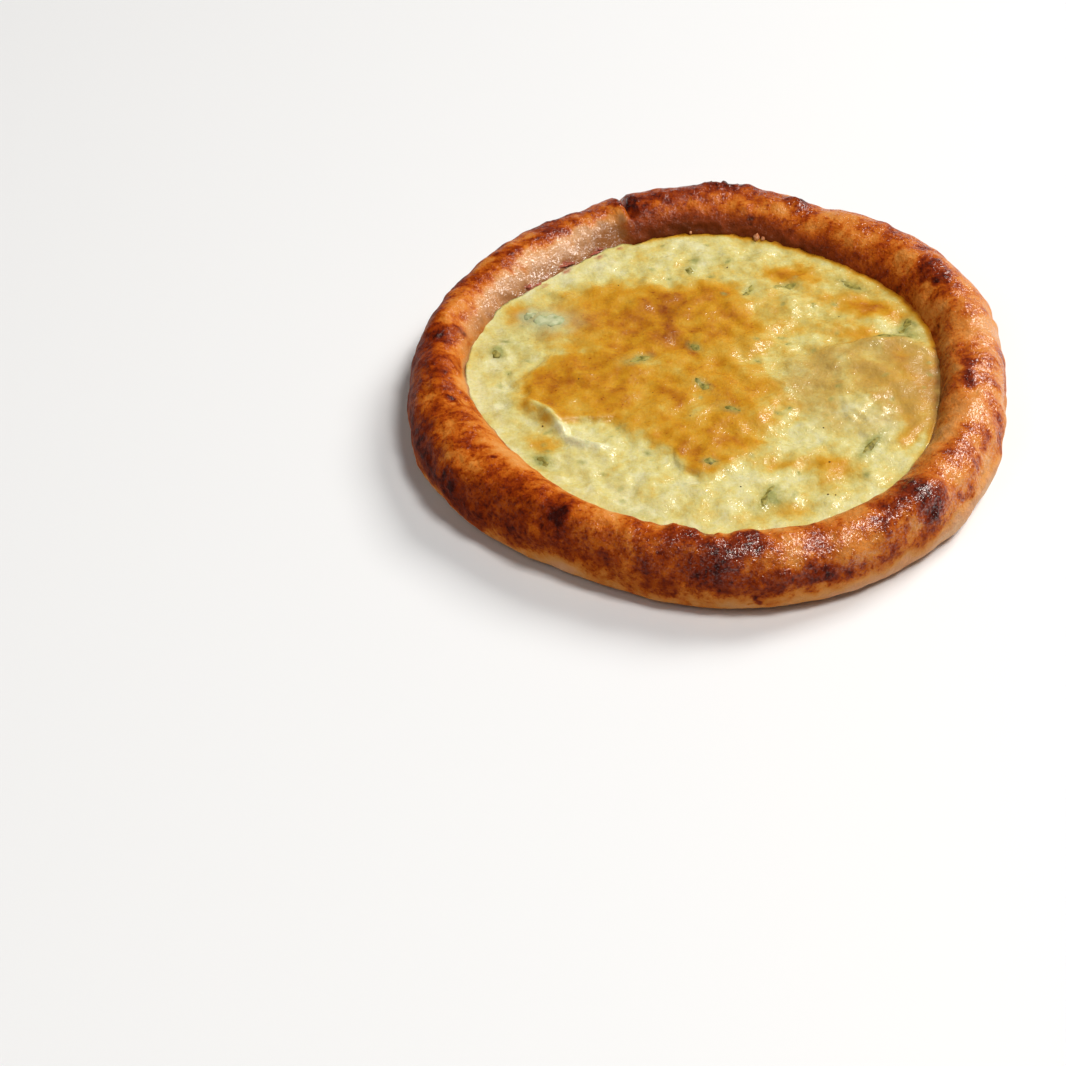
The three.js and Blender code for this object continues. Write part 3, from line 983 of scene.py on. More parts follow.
@dataclass(frozen=True)
class BakeLevels:
    """How much further, or less far, each part of the crust is baked, with painted shade on the far wall
    and a painted highlight on the front right.
    """

    foot: float = 0.13
    side: float = 0.29
    well: float = 0.04
    front_foot: float = 0.14
    far_wall_bake_and_shade: float = 0.46
    right_wall: float = 0.07
    pale_front_highlight: float = 0.04
    zones: float = 0.12
    sole: float = 0.42
    sole_zones: float = 0.35
    moist: float = 0.25


@dataclass(frozen=True)
class GlazeCover:
    """How thickly egg glaze lies low outside and on moist dough, and the shares missing elsewhere."""

    low_side: float = 0.08
    moist: float = 0.8
    missing_left: float = 0.75
    missing_near_left: float = 0.45
    missing_sheltered: float = 0.7
    missing_far_wall: float = 0.85


@dataclass(frozen=True)
class SkinRelief:
    """Heights of the dough skin's own relief, in millimetres."""

    swells: float = 0.85
    dimples: float = 0.6
    grain: float = 0.28
    char_ridges: float = 1.1
    char_sink: float = 0.4
    char_grain: float = 0.55
    wet_lumps: float = 0.5
    wet_grain: float = 0.45
    notch_depth: float = 3.2
    notch_width: float = 1.2  # in degrees


@dataclass
class Crust:
    """The base and the rolled rim, one piece of dough, with its blisters, pits and browning."""

    form: RimForm
    finish: GlazedWheatCrust
    bake_and_painted_light: BakeLevels = BakeLevels()
    cover: GlazeCover = GlazeCover()
    skin: SkinRelief = SkinRelief()
    rays: int = 720
    turn_step: float = 3.0
    grain_seed: int = 11
    mean_crest: float = 97.0  # the crest's radius, taken all round
    mean_half: float = 13.0  # half the rim's width, taken all round
    mark_warp: float = 2.4  # how far the scorches' edges wander, in millimetres
    ceiling: float = 28.6  # no blister stands higher
    ceiling_ease: float = 1.4
    stained: tuple[tuple[float, float, float], ...] = (
        (139.0, 3.4, 1.0),
        (133.0, 2.0, 0.7),
        (126.5, 3.0, 1.0),
        (116.0, 2.6, 0.9),
        (109.5, 1.6, 0.5),
    )
    pooled: tuple[RimSpot, ...] = records(
        RimSpot,
        (270, 78, 7, 0.7), (269, 54, 5, 0.5), (282, 66, 7, 0.8), (291, 60, 8, 1.0), (306, 90, 6, 0.8),
        (313, 52, 8, 0.8), (321, 68, 11, 0.8), (334, 70, 13, 0.8), (352, 52, 13, 0.8), (4, 78, 10, 0.8),
        (22, 98, 6, 0.6),
    )
    # Random blisters and pits: how many, the smallest and the largest, and height over size.
    pocks: tuple[tuple[int, float, float, float], ...] = ((150, 1.3, 3.6, 0.16), (90, 0.9, 1.4, -0.30))
    crisp_bumps: tuple[RimSpot, ...] = records(
        RimSpot,
        (257, 114, 2.0, 0.9), (261.5, 108, 1.7, 0.8), (266, 112, 1.6, 0.7), (269, 104, 1.9, 0.8),
        (273, 106, 2.2, 0.9), (278, 96, 2.0, 0.6), (265, 84, 2.4, 0.8), (270, 74, 2.6, 0.9),
        (262, 70, 2.2, 0.7), (275, 62, 2.4, 0.7), (268, 50, 2.6, 0.7), (281, 40, 2.6, 0.6),
        (277, 24, 2.0, 0.7), (283, 20, 1.8, 0.6), (272, 18, 1.8, 0.6), (305, 92, 5.0, 0.6),
        (301, 92, 2.4, 0.5), (306, 86, 2.2, 0.6), (304, 72, 2.2, 0.8), (310, 76, 2.2, 0.9),
        (311, 64, 2.0, 0.8), (306, 56, 2.0, 0.7), (26, 90, 2.4, 0.6), (20, 96, 2.2, 0.7),
        (23, 104, 2.0, 0.5), (347, 100, 2.2, 0.6), (64, 84, 2.2, 0.7), (84, 66, 2.6, 0.7),
    )
    scorches_and_painted_light: tuple[ScorchAndPaintedLight, ...] = records(
        ScorchAndPaintedLight,
        # The burnt left crest and the dark outer side below it.
        (178, 84, 26, 9, 0.10), (170, 93, 5, 4, 0.34), (166, 125, 2.5, 1.5, 0.30),
        (191, 101, 2.2, 1.3, 0.45), (192, 117, 2.0, 1.0, 0.40), (214, 93, 0.9, 0.9, 0.60),
        (210, 80, 6, 3, 0.14), (223, 71, 7, 4, 0.14), (205, 8, 28, 9, 0.26), (222, 6, 22, 9, 0.14),
        (190, 14, 20, 8, 0.14), (180, 30, 16, 6, 0.08),
        # The front, from the round burnt spot to the blistered lower edge.
        (235, 57, 4.4, 3.4, 0.36), (235, 50, 8, 7, 0.06), (250, 36, 14, 7, 0.10), (242, 22, 8, 5, 0.10),
        (254, 20, 8, 5, 0.12), (250, 62, 6, 4, -0.06), (256, 57, 4, 3, 0.18), (261, 84, 5, 3, 0.22),
        (266, 58, 9, 7, 0.30), (272, 76, 5, 4, 0.30), (263, 24, 10, 5, 0.12), (258, 110, 3, 2, 0.10),
        (272, 100, 3, 2, 0.24), (277, 19, 9, 3, 0.34), (284, 18, 5, 2.4, 0.28), (272, -4, 1.0, 1.0, 0.50),
        (283, 70, 3.5, 3, 0.18),
        # The large burnt blister at the right and the spots round it.
        (297, 66, 3.2, 3.4, 0.30), (300, 80, 5, 4, 0.24), (305.5, 90, 6, 5, 0.30),
        (307.5, 70, 6, 6, 0.30), (306, 37, 3, 3, 0.34), (328, 42, 3, 2.4, 0.22), (323, 45, 3, 2.4, 0.20),
        (316, 23, 5, 2.4, 0.24), (307, 13, 5, 2.4, 0.24), (298, 11, 14, 2.2, 0.12),
        (344, 100, 4, 2.4, 0.36), (350, 101, 3, 2.2, 0.32), (356, 28, 2.4, 3, 0.30),
        (8, 62, 2.4, 2.4, 0.14), (33, 67, 3, 2.4, 0.28), (25.5, 92, 4, 3.6, 0.44), (20, 99, 4, 4.2, 0.46),
        (23, 114, 4, 3, 0.22), (8, 143, 1.6, 1.6, 0.50),
        # The far side's bumps, the dough beside the seam, browner and darkened as painted shade in its
        # notch, and the thin crest left of it.
        (82, 58, 8, 5, 0.38), (65, 80, 5, 4, 0.32), (74, 131, 1.3, 1.1, 0.50), (98, 88, 8, 4, 0.26),
        (92, 102, 8, 5, 0.16), (102.6, 84, 2.4, 6, 0.26), (103.8, 102, 2.2, 6, 0.38),
        (106.5, 78, 3.4, 4, 0.30), (133, 88, 16, 4, 0.24), (90, 62, 16, 7, 0.16), (120, 48, 12, 4, 0.24),
        (135, 44, 13, 4, 0.22), (150, 46, 11, 4, 0.24), (164, 60, 9, 4, 0.18),
        # Paler dough; on the front right and the right crest the paler spots are painted highlight as well.
        (290, 45, 8, 6, -0.08), (335, 70, 18, 7, -0.06), (12, 60, 16, 6, -0.05), (205, 122, 22, 5, -0.08),
        (232, 118, 22, 5, -0.08), (315, 0, 26, 6, -0.12),
    )

    def build(self) -> bpy.types.Object:
        """Spin, shape and dress the crust.

        Returns:
            The finished piece, at the origin.
        """
        stations = self._stations()
        rings = laid_rings("baked_crust", [station for _, station in stations], self.rays)
        mesh, angle, height = rings.mesh, rings.angle, rings.height
        turn = np.array([turn for turn, _ in stations])[rings.number]
        smooth = np.stack([*around(rings.radius, angle), height], axis=-1)
        moist = self._moistness(turn, angle, height)
        bake_and_painted_light = self._browning(smooth, turn, angle, moist)
        lift = self._fine_relief(smooth, turn, angle, bake_and_painted_light, moist) * self._relief_shown(turn, height)
        radius = rings.radius + lift * np.cos(np.radians(turn))
        height = np.where(turn > -60, height + lift * np.sin(np.radians(turn)), height)
        over = np.clip(height - self.ceiling + self.ceiling_ease, 0.0, None)
        height = height - over + self.ceiling_ease * np.tanh(over / self.ceiling_ease)
        places = np.stack([*around(radius, angle), np.maximum(height, 0.0)], axis=-1)
        set_places(mesh, (places - self.form.outline_middle()) * MM)
        paint(mesh, "bake_and_painted_light", bake_and_painted_light)
        far = self._far_wall(turn, angle)
        # The far wall also takes some of the darker moist dough colour, as more painted shade.
        paint(mesh, "moist", np.maximum(moist, 0.25 * far))
        paint(mesh, "calm", np.clip(0.4 * moist + 0.8 * far, 0.0, 0.8))
        paint(mesh, "glaze", self._glaze(turn, angle, moist, far))
        # Painted shade: the moist dough darkens down the slope towards the filling and near the seam.
        near_seam = 1.0 - smoothstep(np.mod(angle, 360.0), 107, 124)
        paint(mesh, "shade", 0.9 * smoothstep(turn, 112, 150) + 0.8 * near_seam)
        paint(mesh, "stain", self._stain(turn, angle, height))
        return shown_object("baked_crust", mesh, self.finish.material())

    def _stations(self) -> list[tuple[float, Station]]:
        """List the rings from the sole's middle round the roll to the well floor's middle.

        Returns:
            For each ring its turn, and the function that gives its radius and height at an angle.
        """
        form = self.form

        def level(share: float, radius: Callable[[Array], Array], height: float) -> Station:
            return lambda angle: (share * radius(angle), np.full_like(angle, height))

        def rolled(turn: float) -> Station:
            return lambda angle: self._rolled_point(turn, angle)

        def cove(share: float) -> Station:
            return lambda angle: form.cove_point(share, angle)

        def crest(angle: Array) -> Array:
            return form.section(angle).crest

        def floor(angle: Array) -> Array:
            return form.cove_point(1.0, angle)[0]

        turns = np.arange(-90.0, 180.0 + self.turn_step / 2.0, self.turn_step)
        rings = [(-90.0, level(share, crest, 0.0)) for share in (0.0, 0.25, 0.5, 0.75, 0.92)]
        rings += [(float(turn), rolled(float(turn))) for turn in turns]
        rings += [(180.0, cove(share)) for share in (0.3, 0.6, 0.85, 1.0)]
        rings += [(180.0, level(share, floor, form.base)) for share in (0.6, 0.0)]
        return rings

    def _rolled_point(self, turn: float, angle: Array) -> tuple[Array, Array]:
        """Return the rim's surface with the CAD solid's relief."""
        form = self.form
        turns = np.full_like(angle, turn)
        radius, height = form.smooth_point(turns, angle)
        if turn < 0:
            return radius, height
        lift = form.relief(turns, angle) * form.shown(turns, height)
        return radius + lift * math.cos(math.radians(turn)), height + lift * math.sin(math.radians(turn))

    @staticmethod
    def _relief_shown(turn: Array, height: Array) -> Array:
        """Return how far the fine relief shows: none on the sole or under the filling."""
        inside = smoothstep(height, 15.5, 17.5)
        return np.where(turn > 90, inside, smoothstep(turn, -75, -20))

    def _browning(self, places: Array, turn: Array, angle: Array, moist: Array) -> Array:
        """Work out how far each place is baked, from 0, raw and pale, to 1, charred, with painted shade and
        painted highlight in places.

        Args:
            places: The surface, in millimetres.
            turn: Each place's turn.
            angle: Each place's angle.
            moist: How far each place is moist slope.

        Returns:
            The bake level, before the material's own fine mottling.
        """
        bake_and_painted_light = self.bake_and_painted_light
        # The lowest outer side shades itself from the oven's heat and stays pale.
        level = bake_and_painted_light.foot + bake_and_painted_light.side * smoothstep(turn, -26, 18) - bake_and_painted_light.well * smoothstep(turn, 96, 130)
        foot = 1.0 - smoothstep(turn, -26, 10)
        level = level + bake_and_painted_light.front_foot * foot * bell(angle_between(250.0, angle), 30.0)
        # Low on the far wall the crust is darker: partly browner baking, partly painted shade.
        level = level + bake_and_painted_light.far_wall_bake_and_shade * self._far_wall(turn, angle)
        right_wall = facing(angle, -10.0, 0.4, 0.95) * smoothstep(turn, 104, 150)
        level = level + bake_and_painted_light.right_wall * right_wall
        # Towards the front right, where the light falls, the crust is paler: a painted highlight.
        level = level - bake_and_painted_light.pale_front_highlight * facing(angle, 330.0, 0.55, 0.95)
        level = level + bake_and_painted_light.zones * noise_at(places, 26.0, 1.3)
        sole = bake_and_painted_light.sole + bake_and_painted_light.sole_zones * noise_at(places, 15.0, 4.2)
        level = np.where(turn <= -80, sole, level)
        warped = []
        ways = ((angle, self.mean_crest, 2.2, 7.2), (turn, self.mean_half, 5.2, 9.2))
        for way, radius, broad, fine in ways:
            wander = noise_at(places, 6.0, broad) + noise_at(places, 2.8, fine)
            warped.append(way + self.mark_warp / radius * RADIAN * wander)
        section = self.form.section(angle)
        for mark in self.scorches_and_painted_light:
            level = level + mark.tint(*section.offset(mark, warped[1], warped[0]))
        return level - bake_and_painted_light.moist * moist

    @staticmethod
    def _far_wall(turn: Array, angle: Array) -> Array:
        """Return 1 low on the well's far wall, made an even dark brown partly by baking and partly as
        painted shade, and 0 elsewhere.
        """
        place = np.mod(angle + 180.0, 360.0) - 180.0
        lowered = turn + 0.22 * (np.minimum(place, 80.0) - 80.0)
        return band(place, (12, 72), (106, 113)) * smoothstep(lowered, 104, 152)

    def _glaze(self, turn: Array, angle: Array, moist: Array, far: Array) -> Array:
        """Return how thickly the glaze lies: brushed on from above, least at the left, pooled in places."""
        cover = self.cover
        left = cover.missing_left * facing(angle, 185.0, 0.1, 0.8)
        near_left = cover.missing_near_left * bell(angle_between(240.0, angle), 28.0)
        brushed = cover.low_side + (1.0 - cover.low_side) * smoothstep(turn, 8, 52)
        brushed = brushed * (1.0 - left) * (1.0 - near_left)
        sheltered = cover.missing_sheltered * smoothstep(turn, 84, 112) * facing(angle, 60.0, 0.4, 0.8)
        section = self.form.section(angle)
        for spot in self.pooled:
            brushed = brushed + spot.bump(*section.offset(spot, turn, angle))
        glazed = brushed + moist * (cover.moist - brushed)
        return glazed * (1.0 - sheltered) * (1.0 - cover.missing_far_wall * far)

    def _moistness(self, turn: Array, angle: Array, height: Array) -> Array:
        """Return 1 on moist unbrowned dough, and 0 elsewhere.

        Args:
            turn: Each place's turn.
            angle: Each place's angle.
            height: Each place's height.

        Returns:
            The share of the slope at the far left, and of the thin wet lip along the filling's near side.
        """
        ring = np.stack([*around(1.0, angle), turn / 400.0], axis=-1) * self.mean_crest
        ragged = 9.0 * noise_at(ring, 9.0, 15.0) + 8.0 * noise_at(ring, 3.2, 16.0)
        place = np.mod(angle, 360.0)
        edge = 115.0 + 10.0 * smoothstep(place, 130, 156)
        ends = smoothstep(place + 0.3 * ragged, 104.0, 110.0) * (1.0 - smoothstep(place + ragged, 146, 176))
        slope = ends * smoothstep(turn + 1.1 * ragged, edge - 12.0, edge + 9.0)
        near_side = band(place, (140, 180), (335, 358))
        top = self.form.filling_level + 1.6 + 0.08 * ragged
        lip = 0.8 * near_side * (turn > 90) * (1.0 - smoothstep(height, top - 0.8, top + 1.4))
        return np.maximum(slope, lip)

    def _stain(self, turn: Array, angle: Array, height: Array) -> Array:
        """Return the red stain of pepper scraps in patches along the filling's edge at the far left."""
        place = np.mod(angle, 360.0)
        along = sum(share * bell(place - middle, half) for middle, half, share in self.stained)
        return along * (turn > 90) * (1.0 - smoothstep(height, 17.6, 20.5))

    def _fine_relief(self, places: Array, turn: Array, angle: Array, bake_and_painted_light: Array, moist: Array) -> Array:
        """Work out the dough skin's own relief.

        Args:
            places: The surface, in millimetres.
            turn: Each place's turn.
            angle: Each place's angle.
            bake_and_painted_light: Each place's bake level.
            moist: How far each place is moist slope.

        Returns:
            Heights over the surface, in millimetres.
        """
        skin = self.skin
        lift = skin.swells * noise_at(places, 17.0, 3.0) + skin.dimples * noise_at(places, 7.5, 6.0)
        lift = lift + (1.0 - moist) * skin.grain * noise_at(places, 3.4, 8.0)
        # Charred skin lifts and crinkles into short ridges.
        char = smoothstep(bake_and_painted_light, 0.6, 0.85)
        ridges = skin.char_ridges * ridges_at(places, 5.0, 12.0)
        lift = lift + char * (ridges - skin.char_sink + skin.char_grain * noise_at(places, 2.6, 5.5))
        # The moist slope is softly lumpy, like wet dough.
        wet = skin.wet_lumps * noise_at(places, 5.0, 14.0) + skin.wet_grain * noise_at(places, 2.6, 1.0)
        lift = lift + moist * wet
        # The seam closes to a narrow notch.
        form = self.form
        past = np.abs(angle_between(form.seam_angle, angle))
        over = form.seam_share(turn)
        wide = form.seam_depth * np.clip(1.0 - past / form.seam_width, 0.0, None)
        narrow = skin.notch_depth * np.clip(1.0 - past / skin.notch_width, 0.0, None)
        low = smoothstep(turn, 104, 124)
        lift = lift + over * ((0.8 + 0.2 * low) * wide - (1.0 - low) * narrow)
        lapped = angle_between(form.seam_angle + form.seam_width, angle)
        lip = form.seam_lip * over * bell(lapped, form.seam_lip_reach)
        lift = lift - (0.5 + 0.4 * low) * lip
        # The crisp bumps were laid out on an even ring.
        even = replace(form.section(angle), crest=self.mean_crest)
        for spot in self.crisp_bumps:
            lift = lift + spot.bump(*even.offset(spot, turn, angle))
        rng = random.Random(self.grain_seed)
        for count, smallest, largest, steepness in self.pocks:
            for _ in range(count):
                at_angle, at_turn = rng.uniform(0, 360), rng.uniform(5, 128)
                size = rng.uniform(smallest, largest)
                spot = RimSpot(at_angle, at_turn, size, steepness * size)
                near = np.abs(angle_between(at_angle, angle)) < 3.0 * size
                section = form.section(angle[near])
                lift[near] += spot.bump(*section.offset(spot, turn[near], angle[near]))
        return lift


# ---------------------------------------------------------------- the filling


@dataclass(frozen=True)
class ToastLevels:
    """How far each part of the cheese is browned, with painted shade at the far edge and painted highlight
    on the curled edge, and by how much that wanders.
    """

    curd: float = 0.13
    skin: float = 0.42
    skin_zones: float = 0.18
    skin_spots: float = 0.14
    zones: float = 0.10
    film_edge: float = 0.34
    curled_edge_highlight: float = 0.22
    far_edge_toast_and_shade: float = 0.6


@dataclass
class Filling:
    """The baked cheese and egg in the well, down to the base."""

    form: FillingForm
    finish: BakedCurdCheese
    leaves: Sequence[Leaf]
    toast_and_painted_light: ToastLevels = ToastLevels()
    rays: int = 640
    ring_step: float = 0.76
    overlap: float = 0.25  # how far it reaches into the rim, so that no gap shows
    gap: float = 0.35
    meniscus: float = 0.9
    meniscus_reach: float = 1.7
    # Browned places. The broad ovals over the right half and the two along its right edge also darken it as
    # painted shade; the paler one at the film's middle is partly painted highlight.
    toasted: tuple[Oval, ...] = records(
        Oval,
        (-20, 26, 24, 18, -10, 0.14), (-40, 44, 9, 7, 0, 0.10), (7, 45, 9, 8, 30, 0.22),
        (-14, 38, 7, 5, 0, 0.15), (-9, 20, 7, 4, -50, 0.20), (-7, 10, 8, 2.5, -60, 0.20),
        (4, 2, 7, 4, 10, 0.16), (-60, -4, 9, 8, 40, 0.10), (-52, -6, 20, 14, 20, 0.06),
        (70, -26, 9, 17, 4, 0.12), (33, -60, 9, 8, 0, 0.10), (-20, -26, 12, 6, -10, -0.08),
        (-6, -33, 8, 5, 20, 0.12), (-16, -46, 8, 5, -10, 0.16), (19, -12, 8, 8, 0, 0.10),
        (34, 53, 12, 7, -10, 0.42), (61, 30, 16, 6, -22, 0.46), (56, 14, 9, 6, -10, 0.34),
        (38, 20, 8, 5, -30, 0.20), (-69, 38, 8, 6, -60, 0.36), (-62, -37, 7, 5, -40, 0.30),
        (66, -40, 4, 11, -20, 0.38), (38, -58, 9, 11, -20, 0.34), (20, -55, 14, 5, 6, 0.30),
        (68, -1, 10, 3.6, -62, 0.50), (79, -16, 8, 20, -4, 0.30), (50, -29, 10, 6, -30, -0.16),
        (62, 40, 26, 16, -30, 0.05), (60, -14, 28, 20, -20, 0.28), (76, -22, 8, 18, 6, 0.20),
        (42, 40, 44, 34, -30, 0.12), (24, -42, 14, 6, 6, -0.06), (18, -78, 16, 5, 10, 0.18),
        (-45, -30, 10, 5, -30, 0.08), (-72, -2, 5, 14, 0, 0.02),
    )
    green: tuple[Oval, ...] = records(
        Oval,
        (-70, 20, 14, 10, -40, 0.36), (-64, -44, 16, 6, -48, 0.44), (-74, -16, 6, 16, 10, 0.32),
        (26, 28, 14, 10, 0, 0.34), (74, 12, 9, 8, 0, 0.55), (55, 42, 12, 8, -40, 0.42),
        (48, 24, 8, 8, 0, 0.36), (14, -74, 12, 9, 60, 0.40), (-30, -76, 22, 7, -8, 0.34),
        (12, 66, 24, 8, 0, 0.30), (40, -64, 20, 6, 26, 0.28), (-30, 4, 10, 8, 30, 0.28),
        (1, -22, 8, 10, 0, 0.24), (52, -46, 16, 5, 50, 0.34),
    )
    stained: tuple[Oval, ...] = records(
        Oval,
        (-49, 63.5, 6, 2.2, 48, 1.0), (-58, 55, 4, 2.0, 48, 0.9), (-36, 71.5, 5, 2.4, 30, 1.0),
        (-28, 76.5, 3, 1.6, 20, 0.8),
    )
    # The film's tint is cleared over its crumpled middle, lighter partly as painted highlight where it
    # glints.
    clear_film_and_glints: Oval = Oval(50, -29, 13, 9, -30, 0.8)
    mint: tuple[Oval, ...] = (Oval(-58, 31.5, 12, 8.5, -15, 1.1), Oval(-64, 37, 5, 4, 20, 0.7))

    def build(self) -> bpy.types.Object:
        """Spin, shape and dress the filling.

        Returns:
            The finished piece, at the origin.
        """
        rim = self.form.rim
        rings = laid_rings("baked_filling", self._stations(), self.rays)
        mesh, angle, height = rings.mesh, rings.angle, rings.height
        x, y = around(rings.radius, angle)
        on_top = height > rim.filling_level
        height[on_top] = self._top(x[on_top], y[on_top], angle[on_top])
        places = np.stack([x, y, height], axis=-1)
        set_places(mesh, (places - rim.outline_middle()) * MM)
        toast_and_painted_light = self._toasting(x, y)
        paint(mesh, "toast_and_painted_light", toast_and_painted_light)
        paint(mesh, "dry", smoothstep(toast_and_painted_light, 0.28, 0.46) * (1.0 - self.form.skin_tint(x, y)))
        film = self.form.inside(self.form.film, 0.6, x, y)
        paint(mesh, "film", film * (1.0 - self.clear_film_and_glints.mound(x, y)))
        paint(mesh, "stain", sum(oval.mound(x, y) for oval in self.stained))
        paint(mesh, "herb", self._herb_tint(x, y))
        paint(mesh, "mint", self._mint_tint(x, y))
        return shown_object("baked_filling", mesh, self.finish.material())

    def _stations(self) -> list[Station]:
        """List the rings from the underside's middle, up the wall and over the top to its middle.

        Returns:
            For each ring the function that gives its radius and height at an angle. A ring of the top has
            a height over the filling's level, which the surface then replaces.
        """
        rim = self.form.rim

        def flat(radius: Callable[[Array], Array], height: float) -> Station:
            return lambda angle: (radius(angle), np.full_like(angle, height))

        def floor(share: float) -> Station:
            return flat(lambda angle: share * rim.cove_point(1.0, angle)[0], rim.base + self.gap)

        def cove(share: float) -> Station:
            lift = self.gap * math.sin(math.radians(90 * share))

            def point(angle: Array) -> tuple[Array, Array]:
                radius, height = rim.cove_point(share, angle)
                return radius - self.gap, height + lift

            return point

        def wall(height: float) -> Station:
            return flat(
                lambda angle: rim.wall_radius(np.full_like(angle, height), angle) - self.gap, height
            )

        def top(share: float) -> Station:
            return flat(lambda angle: share * self._edge_radius(angle), rim.filling_level + 1.0)

        count = round(rim.well_radius / self.ring_step)
        shares = np.linspace(1.0, 0.0, count)
        rings = [floor(share) for share in (0.0, 0.5, 0.9)]
        rings += [cove(share) for share in (1.0, 0.6, 0.3)]
        rings += [wall(height) for height in (rim.waist, 13.0, 14.6)]
        rings += [top(float(share)) for share in shares]
        return rings

    def _edge_rise(self, angle: Array) -> Array:
        """Return how far the filling's edge climbs the rim, unevenly round it."""
        ring = flat_places(*around(80.0, angle))
        return self.meniscus * (0.55 + 0.9 * noise_at(ring, 9.0, 2.0) + 0.6 * noise_at(ring, 3.6, 4.0))

    def _edge_radius(self, angle: Array) -> Array:
        """Return the radius where the climbing edge meets the rim."""
        rim = self.form.rim
        return rim.wall_radius(rim.filling_level + self._edge_rise(angle), angle) + self.overlap

    def _top(self, x: Array, y: Array, angle: Array) -> Array:
        """Return the top's height, with the edge drawn up the rim."""
        climb = self._edge_rise(angle) * np.exp(-self._inset(x, y, angle) / self.meniscus_reach)
        return self.form.top(x, y) + climb

    def _inset(self, x: Array, y: Array, angle: Array) -> Array:
        """Return how far each place lies in from the edge."""
        return np.clip(self._edge_radius(angle) - np.hypot(x, y), 0.0, None)

    def _toasting(self, x: Array, y: Array) -> Array:
        """Return how far the cheese is browned, from 0, pale curd, to 1, scorched skin, with painted shade
        and painted highlight in places.
        """
        places = flat_places(x, y)
        wander_x, wander_y = (
            along + 3.0 * noise_at(places, 7.0, seed) + 1.6 * noise_at(places, 3.0, seed + 2.0)
            for along, seed in ((x, 21.0), (y, 25.0))
        )
        skin = self.form.skin_tint(wander_x, wander_y)
        toast_and_painted_light = self.toast_and_painted_light
        tone = toast_and_painted_light.skin + toast_and_painted_light.skin_zones * noise_at(places, 12.0, 35.0)
        level = toast_and_painted_light.curd + skin * (tone + toast_and_painted_light.skin_spots * noise_at(places, 5.0, 37.0))
        for oval in self.toasted:
            level = level + oval.mound(wander_x, wander_y)
        level = level + toast_and_painted_light.zones * noise_at(places, 14.0, 31.0)
        # The film's upper edge is folded over into a thin brown line.
        depth = self.form.depth_in(self.form.film, x, y)
        level = level + toast_and_painted_light.film_edge * self.form.upper_film(x, y) * bell(depth + 0.02, 0.03)
        # The skin's near left edge curls up, pale and wet, with a painted highlight along its ridge.
        curled = sum(fold.mound(x, y) for fold in self.form.folds if fold.x < -40)
        level = level - toast_and_painted_light.curled_edge_highlight * curled
        # Along the far wall the cheese's edge is browned, and darkened as painted shade from the crust that
        # stands over it.
        angle = np.degrees(np.arctan2(y, x))
        far = band(angle, (-60, -10), (92, 112))
        return level + toast_and_painted_light.far_edge_toast_and_shade * far * bell(self._inset(x, y, angle), 1.7)

    def _herb_tint(self, x: Array, y: Array) -> Array:
        """Return how far chopped herbs under the surface tint the cheese green."""
        level = sum(oval.mound(x, y) for oval in self.green)
        for leaf in self.leaves:
            near = (np.abs(x - leaf.x) < 2 * leaf.length) & (np.abs(y - leaf.y) < 2 * leaf.length)
            halo = Oval(leaf.x, leaf.y, 0.75 * leaf.length, 0.9 * leaf.width + 0.5, leaf.heading, 0.75)
            level[near] += halo.mound(x[near], y[near])
        return level

    def _mint_tint(self, x: Array, y: Array) -> Array:
        """Return the pale blue-green of the large leaf that lies just under the surface."""
        wander = 2.4 * noise_at(flat_places(x, y), 3.6, 41.0)
        return np.clip(sum(oval.mound(x + wander, y - wander) for oval in self.mint), 0.0, 0.85)


# ---------------------------------------------------------------- herbs and small toppings


